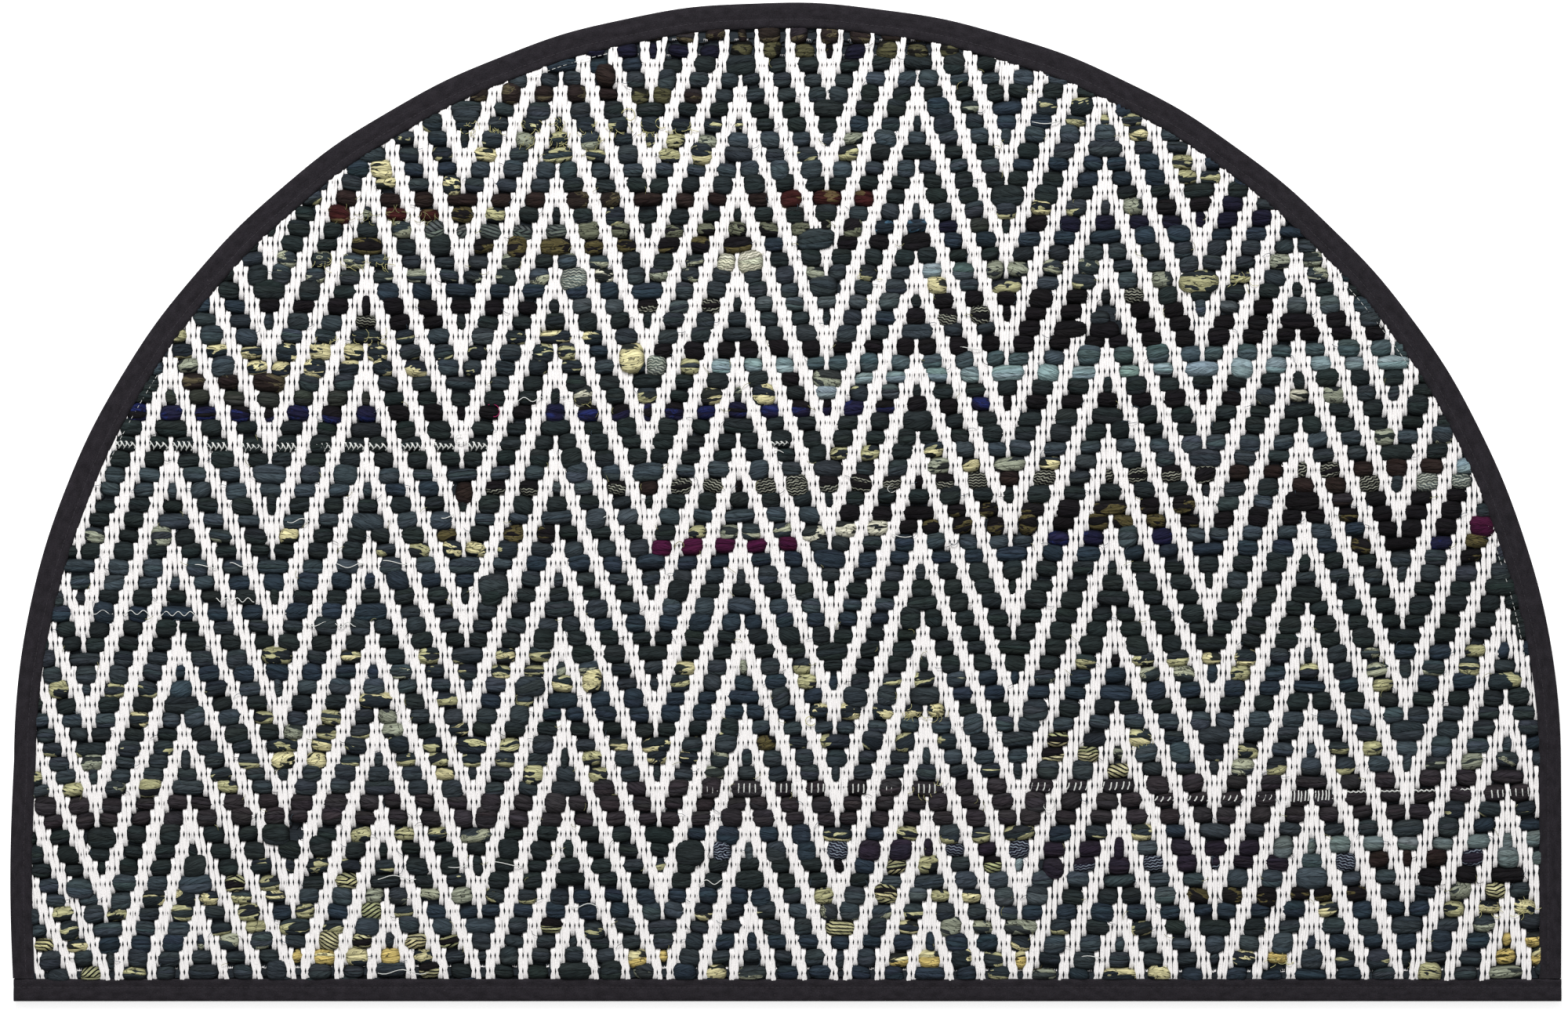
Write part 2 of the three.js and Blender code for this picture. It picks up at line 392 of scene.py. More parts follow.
# Rags that stand out. Under each pick: from x, to x, cloth
RAGS = {
    -36: ((-90, 120, "brown_print"),),
    -35: (
        (-140, 120, "black_print"), (-115, -41, "navy"), (-38, 24, "moss_print"), (33, 46, "navy"),
        (48, 102, "moss_print"),
    ),
    -33: ((-112, -98, "dark_brown"),),
    -32: ((-205, -45, "brown_print"), (-112, -98, "dark_brown"), (-98, -62, "moss_print")),
    -31: ((97, 109, "sage"), (133, 180, "print")),
    -30: ((-215, -20, "print"), (60, 114, "faint_print"), (164, 210, "olive")),
    -29: (
        (-230, -40, "print"), (-166, -144, "sage"), (-122, -104, "sage"), (-78, -60, "olive"),
        (-58, -42, "sage"), (30, 46, "sage"), (190, 214, "yellow"),
    ),
    -28: (
        (-250, -200, "print"), (-186, -168, "yellow"), (-148, -106, "olive"), (-78, -60, "olive"),
        (-58, -42, "yellow"), (0, 16, "print"), (26, 40, "olive"),
    ),
    -27: ((-242, -230, "yellow"), (212, 238, "olive")),
    -26: ((-242, -226, "yellow"), (-206, -182, "bright_print"), (232, 256, "olive")),
    -25: (
        (-284, -272, "olive"), (-265, 0, "dark_brown"), (-250, -238, "sage"), (-130, -100, "brown_print"),
        (-8, 52, "maroon_print"),
    ),
    -24: (
        (-268, -254, "maroon_print"), (-250, -238, "sage"), (-238, -204, "maroon_print"),
        (-200, -182, "black_print"), (-180, -162, "olive"), (-102, -88, "print"), (120, 177, "olive"),
        (194, 212, "sage"), (214, 250, "black"), (252, 270, "navy"),
    ),
    -23: (
        (-232, -212, "sage_print"), (-214, -125, "grey_lined"), (-120, -88, "black_sage"),
        (-75, 46, "black_sage"), (46, 84, "blue_print"), (86, 104, "navy"), (106, 120, "moss"),
        (137, 290, "navy"),
    ),
    -22: (
        (-255, -225, "black_print"), (-190, -75, "black_print"), (-75, -18, "black_print"),
        (30, 90, "black"),
    ),
    -21: (
        (-310, -220, "sage_print"), (-166, -150, "sage"), (-130, -100, "sage_print"),
        (-66, -48, "sage_print"),
    ),
    -20: (
        (-300, -137, "sage_print"), (-218, -206, "sage"), (-188, -172, "sage"),
        (-114, -98, "cream_print"), (-84, -70, "sage"), (-60, -45, "sage_print"), (10, 20, "sage"),
        (44, 60, "olive"), (80, 98, "pale_grey"), (100, 114, "grey"), (116, 146, "sage"),
        (150, 180, "sage_print"), (284, 315, "sage"),
    ),
    -19: (
        (82, 96, "yellow"), (164, 178, "olive"), (210, 254, "sage"), (260, 278, "olive"),
        (290, 316, "sage_print"),
    ),
    -18: (
        (-310, -143, "black"), (-126, -90, "grey"), (-90, -74, "zigzag"), (-72, -54, "grey"),
        (-52, -36, "zigzag"), (-20, 68, "grey"), (80, 176, "black"), (192, 208, "zigzag"),
    ),
    -17: (
        (-280, -266, "black"), (-248, -232, "zigzag"), (-232, -196, "black"), (70, 240, "black"),
        (88, 118, "zigzag"), (252, 268, "grey"), (270, 290, "black"), (292, 325, "grey"),
    ),
    -16: (
        (-362, -349, "olive"), (-275, -212, "print"), (-188, -172, "grey"), (-166, -152, "print"),
        (-146, -106, "bright_print"), (140, 330, "black"),
    ),
    -15: ((-360, -230, "bright_print"), (-222, -120, "print"), (-85, 350, "black")),
    -14: (
        (-355, -340, "sage"), (-318, -290, "bright_print"), (-280, -200, "bright_print"),
        (-190, -110, "print"), (-66, -48, "olive"), (-44, 10, "pale_grey"), (10, 365, "teal_grey"),
    ),
    -13: ((-370, -288, "brown_print"), (-4, 10, "black"), (14, 26, "sage"), (28, 365, "pale_grey")),
    -12: (
        (-370, -245, "moss"), (-128, -115, "cream_print"), (-90, -72, "olive"), (-52, -38, "yellow"),
        (-34, -26, "sage"), (-22, 0, "bright_print"), (14, 26, "pale_grey"), (34, 50, "print"),
        (56, 72, "grey"),
    ),
    -11: (
        (-392, -240, "indigo"), (-240, -142, "black"), (-142, -40, "indigo"), (-40, 65, "indigo"),
        (65, 262, "black"), (104, 118, "indigo"), (270, 290, "sage_print"), (292, 308, "cream_print"),
        (314, 326, "sage"),
    ),
    -10: ((-450, 450, "green_black"),),
    -9: ((-450, 450, "green_black"),),
    -8: (
        (-450, 80, "green_black"), (24, 42, "olive"), (46, 60, "olive"), (80, 95, "yellow"),
        (95, 365, "grey_slate"), (338, 352, "sage"), (372, 392, "sage_print"),
    ),
    -7: (
        (-400, 0, "grey_slate"), (82, 97, "sage"), (99, 116, "yellow"), (120, 146, "sage"),
        (146, 158, "yellow"),
    ),
    -6: (
        (-400, -235, "grey_slate"), (-194, -180, "black"), (-175, -142, "zigzag"), (-140, -108, "grey"),
        (-106, -90, "zigzag"), (-90, -72, "dark_brown"), (-72, -35, "zigzag"), (-30, -22, "black"),
        (-20, 70, "zigzag"), (72, 84, "black"), (86, 118, "zigzag"), (120, 140, "dark_brown"),
        (142, 158, "zigzag"), (180, 250, "zigzag"), (254, 385, "dark_brown"), (290, 322, "zigzag"),
        (388, 402, "pale_grey"),
    ),
    -5: (
        (-450, 290, "green_black"), (240, 262, "slate"), (290, 330, "dark_brown"), (332, 346, "zigzag"),
        (362, 402, "grey_knit"),
    ),
    -4: (
        (-450, -362, "green_black"), (26, 395, "black"), (92, 152, "black_print"),
        (180, 242, "black_print"), (246, 286, "grey_slate"), (318, 332, "brown_print"),
    ),
    -3: (
        (-412, -392, "sage"), (-388, -372, "green_black"), (-372, -356, "sage"), (-338, -320, "sage"),
        (-300, -284, "yellow"), (-200, -184, "black_print"), (-160, -138, "black_print"),
        (-60, -46, "olive"), (-42, -26, "sage"), (-25, 0, "sage_print"), (6, 60, "cream_print"),
        (62, 396, "black"), (82, 132, "black_print"), (134, 150, "black_print"),
        (174, 240, "black_print"), (320, 335, "black_print"),
    ),
    -2: (
        (-412, -245, "green_black"), (-245, -226, "print"), (-224, -206, "olive"),
        (-206, -172, "bright_print"), (-168, -134, "print"), (-132, -80, "slate"), (-78, 6, "purple"),
        (80, 320, "grey_slate"), (152, 187, "indigo"), (216, 228, "indigo"), (340, 392, "black"),
        (398, 414, "purple"),
    ),
    -1: (
        (-424, -200, "grey_slate"), (328, 345, "black_print"), (345, 372, "black"), (376, 396, "indigo"),
        (396, 412, "black_print"),
    ),
    0: ((395, 410, "black_print"),),
    2: ((60, 450, "green_black"),),
    3: ((-450, -340, "green_black"), (60, 450, "green_black")),
    4: ((-450, 450, "green_black"),),
    5: (
        (-392, -378, "print"), (-262, -246, "yellow"), (-218, -200, "olive"), (-196, -178, "print"),
        (-176, -158, "yellow"), (-156, -140, "olive"), (-107, 450, "green_black"),
    ),
    6: (
        (-230, -214, "sage_print"), (-212, -198, "print"), (-196, -180, "print"), (-178, -164, "yellow"),
        (-162, -142, "olive"), (-140, -128, "sage"), (-126, -108, "sage_print"), (-106, -94, "print"),
        (-72, -56, "yellow"), (-32, -22, "sage"), (4, 16, "olive"), (20, 160, "green_black"),
        (164, 178, "olive"), (180, 196, "black"), (198, 234, "olive"), (236, 254, "yellow"),
        (256, 274, "bright_print"), (334, 350, "sage_print"), (394, 412, "olive"),
    ),
    7: (
        (-426, -410, "olive"), (-394, -378, "olive"), (-376, -362, "print"), (-342, -328, "print"),
        (-138, -122, "yellow"), (-120, -100, "yellow"), (-70, -56, "print"), (2, 14, "olive"),
        (40, 70, "print"), (72, 88, "olive"), (92, 108, "sage_print"), (140, 160, "sage_print"),
        (200, 240, "sage_print"), (258, 274, "olive"), (298, 314, "olive"), (336, 350, "sage_print"),
        (372, 392, "sage_print"), (394, 410, "olive"),
    ),
    8: (
        (-250, -226, "bright_print"), (-208, -192, "print"), (-160, -144, "olive"), (338, 352, "olive"),
        (408, 430, "print"),
    ),
    9: (
        (-384, -370, "yellow"), (-312, -296, "olive"), (-276, -254, "olive"), (-240, -222, "sage"),
        (10, 90, "bright_print"), (95, 450, "green_black"),
    ),
    10: ((-296, -280, "sage"), (-276, -240, "olive"), (-238, -224, "sage"), (-200, -182, "bright_print")),
    11: (
        (-432, -5, "print"), (-280, -260, "yellow"), (-172, -156, "olive"), (-152, -132, "slate"),
        (-108, -92, "yellow"), (-90, -70, "bright_print"), (-24, -8, "black_print"), (2, 132, "print"),
        (150, 166, "lined"), (168, 182, "print"), (196, 214, "yellow"), (216, 230, "print"),
    ),
    12: (
        (-440, -428, "yellow"), (-412, -396, "sage"), (-322, -306, "olive"), (-300, -266, "yellow"),
        (-264, -248, "olive"), (-232, -196, "olive"), (-194, -178, "print"), (-174, -158, "olive"),
        (-126, -110, "olive"), (-90, -52, "bright_print"), (-50, -36, "sage_print"), (148, 186, "lined"),
        (188, 196, "sage"), (242, 258, "print"), (264, 276, "olive"), (312, 326, "olive"),
        (334, 348, "olive"),
    ),
    13: (
        (-440, -424, "olive"), (-384, -370, "olive"), (-338, -322, "olive"), (-212, -196, "yellow"),
        (-160, -144, "olive"), (-124, -106, "olive"), (-50, -38, "sage"), (92, 126, "print"),
        (184, 200, "lined"), (256, 272, "sage_print"), (274, 292, "olive"), (294, 310, "sage_print"),
        (312, 332, "olive"), (370, 408, "sage"), (410, 428, "sage_print"),
    ),
    14: (
        (-112, 450, "brown"), (-444, -428, "sage_print"), (-418, -404, "olive"),
        (-400, -384, "sage_print"), (-382, -364, "olive"), (-338, -320, "olive"),
    ),
    15: ((-450, 450, "brown"),),
    16: ((-450, 450, "brown"), (372, 430, "print")),
    17: (
        (-450, -60, "green_black"), (-258, -196, "olive"), (-194, -176, "sage_print"), (20, 38, "yellow"),
        (60, 78, "olive"), (88, 104, "print"), (108, 118, "olive"), (130, 148, "olive"),
        (174, 188, "print"), (198, 214, "yellow"),
    ),
    18: (
        (-450, -50, "green_black"), (-46, -32, "blue_zigzag"), (-28, 4, "grey"), (22, 280, "aubergine"),
        (22, 36, "blue_zigzag"), (88, 104, "blue_zigzag"), (128, 142, "blue_zigzag"), (200, 214, "grey"),
        (282, 450, "sage_grey"),
    ),
    19: (
        (-450, 40, "green_black"), (-310, -225, "print"), (-92, -72, "print"), (22, 36, "black"),
        (52, 70, "lined"), (72, 92, "olive"), (114, 128, "lined"), (129, 140, "pale_grey"),
        (146, 292, "aubergine"), (166, 182, "blue_zigzag"), (205, 222, "blue_zigzag"),
        (242, 256, "blue_zigzag"), (296, 314, "teal_grey"), (316, 330, "blue_zigzag"),
        (332, 384, "dark_brown"), (388, 404, "blue_zigzag"), (408, 450, "sage_grey"),
    ),
    20: (
        (-450, -330, "grey_slate"), (-330, -316, "lined"), (-312, -296, "olive"), (-270, -252, "lined"),
        (-202, -188, "print"), (60, 350, "grey_slate"), (360, 440, "black"),
    ),
    21: (
        (-372, -296, "bright_print"), (-326, -310, "olive"), (-240, -222, "sage"),
        (-220, -206, "sage_print"), (-198, -182, "sage"), (-178, -166, "olive"), (-160, -142, "olive"),
        (-140, -126, "print"), (14, 28, "olive"), (48, 64, "lined"), (70, 150, "grey"), (84, 98, "olive"),
        (104, 116, "yellow"), (212, 228, "grey"), (230, 340, "black_print"), (382, 396, "sage"),
        (398, 414, "lined"),
    ),
    22: (
        (-430, -414, "olive"), (-392, -376, "olive"), (-356, -340, "olive"), (-318, -302, "olive"),
        (-286, -270, "olive"), (-248, -232, "lined"), (-230, -214, "olive"), (-62, -38, "yellow"),
        (-36, -22, "print"), (-20, -4, "olive"), (14, 62, "sage_print"), (64, 118, "print"),
        (304, 320, "yellow"), (378, 392, "olive"), (396, 434, "bright_print"),
    ),
    23: (
        (-430, -414, "print"), (-338, -322, "print"), (-316, -300, "olive"), (-294, -276, "olive"),
        (-272, -254, "olive"), (-148, -130, "lined"), (18, 42, "lined"), (64, 80, "yellow"),
        (86, 104, "sage"), (106, 120, "sage_print"), (126, 150, "sage"), (154, 172, "olive"),
        (198, 214, "yellow"), (392, 406, "sage"),
    ),
    24: (
        (-438, -426, "lined"), (-424, -406, "yellow"), (-342, -296, "sage_print"), (-276, -244, "lined"),
        (-224, -190, "lined"), (126, 150, "bright_print"), (412, 442, "gold"),
    ),
    25: (
        (-294, -284, "gold"), (-278, -258, "gold"), (-256, -242, "bright_print"), (-240, -222, "gold"),
        (-220, -206, "bright_print"), (-72, -62, "gold"), (62, 72, "gold"), (78, 92, "gold"),
        (94, 110, "bright_print"), (114, 130, "olive"), (134, 146, "gold"), (150, 164, "print"),
        (256, 272, "bright_print"), (276, 294, "gold"), (312, 350, "print"), (408, 442, "gold"),
    ),
    26: (
        (-416, -400, "lined"), (-390, -372, "olive"), (-222, -208, "lined"), (-90, -72, "sage"),
        (-44, -26, "yellow"), (-22, -6, "sage_print"), (118, 132, "print"), (144, 158, "sage"),
        (180, 224, "bright_print"), (362, 378, "olive"), (406, 424, "sage"),
    ),
}


# Pick, x, half its width, half its height, cloth
KNOTS = (
    (-33.3, -106, 6.0, 7.5, "dark_brown"),
    (-30.5, -187, 8.0, 6.0, "slate"),
    (-24.2, 148, 7.0, 5.5, "yellow"),
    (-23, 145, 6.0, 5.5, "black"),
    (-20.8, -22, 8.0, 7.5, "cream_knit"),
    (-20.8, -36, 6.0, 6.5, "cream_knit"),
    (-19.8, -124, 7.5, 7.5, "grey_knit"),
    (-18.9, 127, 9.0, 5.0, "olive"),
    (-18.8, 239, 11.5, 7.5, "olive"),
    (-16.6, 181, 6.5, 5.0, "slate"),
    (-15.8, 164, 10.0, 6.0, "black"),
    (-15.8, 184, 9.5, 6.0, "black"),
    (-14.5, -91, 7.5, 9.5, "yellow"),
    (-14.1, -76, 6.0, 7.0, "grey_knit"),
    (-5.7, -188, 6.0, 7.0, "dark_brown"),
    (-2.9, 121, 6.0, 6.0, "black_print"),
    (-3, 140, 6.0, 7.0, "black_print"),
    (-2.6, 15, 7.0, 5.5, "cream_print"),
    (0.4, -171, 8.5, 8.0, "slate"),
    (-22.3, 17, 11.0, 7.5, "slate"),
    (-19.2, 21, 9.0, 7.0, "slate"),
    (4.9, -297, 9.0, 6.0, "olive"),
    (6.8, -114, 6.5, 8.0, "yellow"),
    (7.2, -150, 9.0, 7.0, "slate"),
    (8, 80, 9.5, 6.5, "slate"),
    (8.1, -4, 6.0, 7.5, "slate"),
    (8.1, 39, 8.0, 7.0, "slate"),
    (8, 58, 6.0, 7.0, "slate"),
    (9.2, 144, 7.5, 7.0, "slate"),
    (13, 152, 7.0, 6.5, "slate"),
    (17, -298, 9.0, 7.5, "green_black"),
    (17.1, -399, 9.5, 7.0, "green_black"),
    (17.8, -272, 7.0, 7.0, "green_black"),
    (18.1, -38, 6.0, 7.0, "blue_zigzag"),
    (18.2, -57, 9.0, 8.5, "green_black"),
    (18.1, -7, 7.0, 7.0, "grey"),
    (19.2, 155, 7.0, 7.0, "aubergine"),
    (20.2, -412, 8.0, 6.5, "grey_slate"),
    (20.9, 57, 7.0, 6.5, "lined"),
    (23.3, -112, 6.0, 6.0, "olive"),
    (25.1, -87, 6.0, 6.0, "gold"),
)
# Cloth that shows on some plies of another
BACKS = {
    "indigo": "black",
    "zigzag": "black",
    "blue_zigzag": "aubergine",
    "lined": "black",
    "yellow": "print",
    "olive": "slate",
    "sage": "slate",
    "gold": "yellow",
    "grey": "slate",
    "brown_print": "brown",
    "black_print": "black",
    "print": "slate",
    "sage_print": "grey_slate",
}
BACK_SHARE = 0.4


def strip_plan():
    """For each pick, a list of (from x, to x, cloth name, seed). Later strips cover earlier ones."""
    names, weights = zip(*COMMON)
    plan = {}
    for pick in range(FIRST_PICK, LAST_PICK + 1):
        x = -HALF_WIDTH - rng.uniform(0, FIRST_OVERHANG)
        strips = []
        while x < HALF_WIDTH:
            length = rng.uniform(*STRIP_LENGTHS)
            strips.append((x, x + length, str(rng.choice(names, p=weights)), rng.uniform(0, SEEDS)))
            x += length
        for start, end, cloth in RAGS.get(pick, ()):
            strips.append((start, end, cloth, rng.uniform(0, SEEDS)))
        plan[pick] = strips
    return plan


def strip_at(plan, pick, x):
    """(cloth name, seed) of the strip that shows at x."""
    for start, end, cloth, seed in reversed(plan[pick]):
        if start <= x < end:
            return cloth, seed
    return "slate", 0.0


# Where cloth swells out from under the tape, as depths inside the tape's inner edge
SWELL_STARTS, SWELL_ENDS = -0.6, 1.6
SHOULDER_STARTS, SHOULDER_ENDS = 1.0, 6.0
FIRST_SWELL = 3.2
SHOULDER_SWELL = 4.0


def press_under_tape(x, height, z, top):
    """Keeps cloth below the tape's upper leaf, or above its lower leaf, where the tape covers it."""
    depth = inside_tape(x, height)
    free = smoothstep(SWELL_STARTS, SWELL_ENDS, depth)
    if top:
        limit = BINDING_HEIGHT - TAPE - GAP / 2 + FIRST_SWELL * free
        limit = limit + SHOULDER_SWELL * smoothstep(SHOULDER_STARTS, SHOULDER_ENDS, depth)
        return np.minimum(z, limit)
    return np.maximum(z, (TAPE + GAP / 2) * (1 - free))


def under_face(z):
    """z on the underside of what has a given z on top, pressed softly onto the floor."""
    return FLOOR_GIVE * np.logaddexp(0, (CREST - z) / FLOOR_GIVE)


def keep_in_rim(x, height):
    """Draws points that lie outside the sewn rim onto it."""
    out = np.minimum(inside_rim(x, height), 0)
    side = side_depth(x, height) - TAPE - GAP
    at_side = side <= height - TAPE - GAP
    angle = np.arctan2(np.maximum(height - SIDE_RUN, 0), x)
    x = np.where(at_side, x + out * np.cos(angle), x)
    height = height + np.where(at_side, out * np.sin(angle), -out)
    return x, height


FLOAT_TUCK = 0.7  # how far a float's end reaches under the yarns
FLOAT_HALF_HEIGHT = 5.1
FLOAT_HALF_LENGTH = 6.0  # of a usual one
FLOAT_RIM = 2.6  # z of a float's edges
LOWEST = 2.2  # how far plies and yarns reach down into the cloth
FLOAT_CROWN = 8.0
FLOAT_LEAST_INSIDE = 0.5  # floats whose middle is nearer to the rim are left out
END_ROUNDING = 4.2
END_LIFT = 0.35  # so that a float's end isn't quite down at its rim
SIDE_ROUNDING = 4.8
SQUARENESS = 3.0  # power of the superellipse that a float fills
LEAST_REACH = 0.3
MOST_PLIES = 4
PLY_CHANCES = (0.2, 0.4, 0.3, 0.1)  # of 1, 2, 3 or 4 plies to a float
PLY_LAP = 0.07
LEAST_PLY = 0.2
PLY_PLACES = (0.0, 0.15, 0.5, 0.85, 1.0)  # points across a ply
PLY_PROFILE = (-0.9, 0.0, 0.25, 0.0, -0.9)  # their z over the float's own
PLY_PROFILE_AT_ENDS = 0.4  # share of the profile that is left there
PLY_TIP = 0.3  # how far one edge of a ply lies over the other
PLY_RIPPLE = 0.16
PLY_RIPPLE_WAVES = (2, 5)
ANY_TURN = 6.3

# Thickness of floats, as shares of the usual one
THICK_WAVE = 23  # length of the slow change of thickness along a strip
LEAST_SWELL = 0.81
THICK_SWELL = 0.3
SWELL_STRAY = (-0.1, 0.16)
MIDDLE_SWELL = 0.95
CROWN_BY_SWELL = 1.5
CROWN_BY_BULGE = 2.5
FAT_CHANCE = 0.25
FAT_BULGE = (0.05, 0.28)

# How far floats stray from the even weave, to both sides
END_STRAY = 0.8
MIDDLE_STRAY = 0.5
CROWN_STRAY = 0.4
SHIFT_STRAY = 0.8
TILT_STRAY = 0.9
LEAN_STRAY = 0.7
LEAN_SHARE = 0.6

# How far the edges between plies stray, as shares of a ply or of half a float's height
EDGE_STRAY = 0.3
EDGE_SLOPE = 0.22
EDGE_BEND = 0.16
EDGE_BEND_CROSSES = 0.3
KNOT_BULGE = 0.3  # floats that bulge more than this are knots
KNOT_PLIES = 3
KNOT_SLOPE = 2.5  # edges in a knot slope this much more

# Where the print and the wrinkles of a ply come from on its cloth
CLOTH_TURN = 0.5
CLOTH_ROOM = 900
CLOTH_GATHER = 1.3  # cloth across a ply over what shows of it

# Shades from one ply to the next
TONE_STRAY = 0.12
HUE_STRAY = 0.035
INK_STRAY = 0.08


def rounded(from_edge, radius):
    """Quarter-round rise from 0 at an edge to 1 at the radius from it."""
    share = np.clip(from_edge / radius, 0, 1)
    return np.sqrt(1 - (1 - share) ** 2)


def add_knots(floats):
    """Rag floats with the knots instead of those that lie under them."""
    middle = (floats[:, 1] + floats[:, 2]) / 2
    rows = []
    for pick, x, half, half_height, _ in KNOTS:
        covered = (np.abs(middle - x) < half) & (np.abs(floats[:, 0] - pick) < 0.5)
        floats, middle = floats[~covered], middle[~covered]
        left, right = x - half + FLOAT_TUCK, x + half - FLOAT_TUCK
        rows.append((pick, left, right, half_height / FLOAT_HALF_HEIGHT - 1))
    return np.concatenate([floats, rows])


def cloth_of(plan, pick, x):
    """(cloth name, seed) of a float or a knot."""
    for knot_pick, knot_x, _, _, cloth in KNOTS:
        if pick == knot_pick and abs(x - knot_x) < 1:
            return cloth, knot_x
    return strip_at(plan, round(pick), x)


def stray(reach, shape):
    """Random offsets to both sides."""
    return rng.uniform(-reach, reach, shape)


class RagFloats:
    """Rag floats, each with its cloth, its thickness and its strays from the even weave."""

    def __init__(self, floats, plan):
        middle = (floats[:, 1] + floats[:, 2]) / 2
        floats = floats[inside_rim(middle, pick_height(floats[:, 0], middle)) > FLOAT_LEAST_INSIDE]
        self.pick, left, right, bulge = floats.T
        middle = (left + right) / 2
        count = len(middle)
        self.cloths = [cloth_of(plan, pick, x) for pick, x in zip(self.pick, middle)]
        seeds = np.array([seed for _, seed in self.cloths])
        thick = 0.5 + 0.5 * np.sin(middle / THICK_WAVE + seeds)
        swell = LEAST_SWELL + THICK_SWELL * thick + rng.uniform(*SWELL_STRAY, count)
        swell = np.where(bulge == 0, swell, 1.0)
        fat = (rng.random(count) < FAT_CHANCE) & (bulge == 0)
        bulge = np.where(fat, rng.uniform(*FAT_BULGE, count), bulge)
        self.half = (right - left) / 2 + FLOAT_TUCK + stray(END_STRAY, count)
        self.middle = middle + stray(MIDDLE_STRAY, count)
        self.half_height = FLOAT_HALF_HEIGHT * swell * (1 + bulge)
        crown = FLOAT_CROWN + CROWN_BY_SWELL * (swell - MIDDLE_SWELL) + stray(CROWN_STRAY, count)
        self.crown = crown + CROWN_BY_BULGE * bulge
        self.shift = stray(SHIFT_STRAY, count)
        self.tilt = stray(TILT_STRAY, count)
        self.lean = stray(LEAN_STRAY, count)
        self.knotted = bulge > KNOT_BULGE


def split_in_plies(knotted, most_plies):
    """Plies of each float, and the place, slope and bend of each edge between them."""
    count = len(knotted)
    plies = np.minimum(1 + rng.choice(MOST_PLIES, count, p=PLY_CHANCES), most_plies)
    plies = np.where(knotted, KNOT_PLIES, plies)
    marks = np.arange(MOST_PLIES + 1)
    inner = (marks > 0) & (marks < plies[:, None])
    place = -1 + 2 * (marks + inner * stray(EDGE_STRAY, inner.shape)) / plies[:, None]
    slope = inner * stray(EDGE_SLOPE, inner.shape) * np.where(knotted, KNOT_SLOPE, 1)[:, None]
    bend = inner * stray(EDGE_BEND, inner.shape)
    return plies, (place, slope, bend)


def rag_plies(floats, plan, columns, most_plies):
    """Points and looks of the folded plies of rag floats.

    The arrays run over plies, points across and points along. s and t are shares of half a float's
    length and height, and edge and depth give painted shade: darker at ply edges and where a float falls
    away.
    """
    floats = RagFloats(floats, plan)
    plies, edges = split_in_plies(floats.knotted, most_plies)
    owner = np.repeat(np.arange(len(plies)), plies)
    rank = np.arange(len(owner)) - np.repeat(np.cumsum(plies) - plies, plies)
    stations = np.sin(np.linspace(-1, 1, columns) * np.pi / 2)[None, :]

    def edge_line(mark):
        place, slope, bend = (values[owner, mark][:, None] for values in edges)
        return place + slope * stations + bend * (stations * stations - EDGE_BEND_CROSSES)

    def per_ply(values):
        return values[owner][:, None, None]

    def draw(low, high):
        return rng.uniform(low, high, len(owner))[:, None, None]

    low = edge_line(rank) - PLY_LAP
    high = np.maximum(edge_line(rank + 1) + PLY_LAP, low + LEAST_PLY)
    places = np.array(PLY_PLACES)[None, :, None]
    t = low[:, None, :] + (high - low)[:, None, :] * places
    s = np.broadcast_to(stations[:, None, :], t.shape)
    middle, half, half_height = (per_ply(v) for v in (floats.middle, floats.half, floats.half_height))

    end_rise = rounded(half * (1 - np.abs(s)) + END_LIFT, END_ROUNDING)
    side_rise = rounded((1 - np.abs(t)) * half_height, SIDE_ROUNDING)
    profile = np.array(PLY_PROFILE)[None, :, None]
    tip = draw(-PLY_TIP, PLY_TIP) * (places - 0.5)
    ripple = PLY_RIPPLE * np.sin(draw(*PLY_RIPPLE_WAVES) * s + draw(0, ANY_TURN)) * end_rise
    z = FLOAT_RIM + (per_ply(floats.crown) - FLOAT_RIM) * side_rise * end_rise
    z = z + profile * (PLY_PROFILE_AT_ENDS + (1 - PLY_PROFILE_AT_ENDS) * end_rise)
    z = np.maximum(z + tip + ripple, LOWEST)

    fill = (1 - np.abs(s) ** SQUARENESS) ** (1 / SQUARENESS)
    reach = half_height * np.maximum(fill, LEAST_REACH)
    x = middle + s * half + t * per_ply(floats.lean) * LEAN_SHARE
    height = pick_height(per_ply(floats.pick), x) + per_ply(floats.shift)
    height = height + per_ply(floats.tilt) * s + t * reach

    turn = draw(-CLOTH_TURN, CLOTH_TURN)
    along, over = x - middle, t * half_height * CLOTH_GATHER
    cloth_u = along * np.cos(turn) - over * np.sin(turn) + draw(0, CLOTH_ROOM)
    cloth_v = along * np.sin(turn) + over * np.cos(turn) + draw(0, CLOTH_ROOM)
    # Painted shade: edge is darkest at a ply's edges, depth where the float falls from its crown to its
    # rim
    edge = np.abs(places * 2 - 1) ** 3 * np.ones_like(z)
    depth = 1 - side_rise * end_rise
    backs = (rng.random(len(owner)) < BACK_SHARE) & (rank > 0)
    names = [floats.cloths[i][0] for i in owner]
    looks = [BACKS.get(name, name) if back else name for name, back in zip(names, backs)]
    return [x, height, z, edge, depth, cloth_u, cloth_v], looks


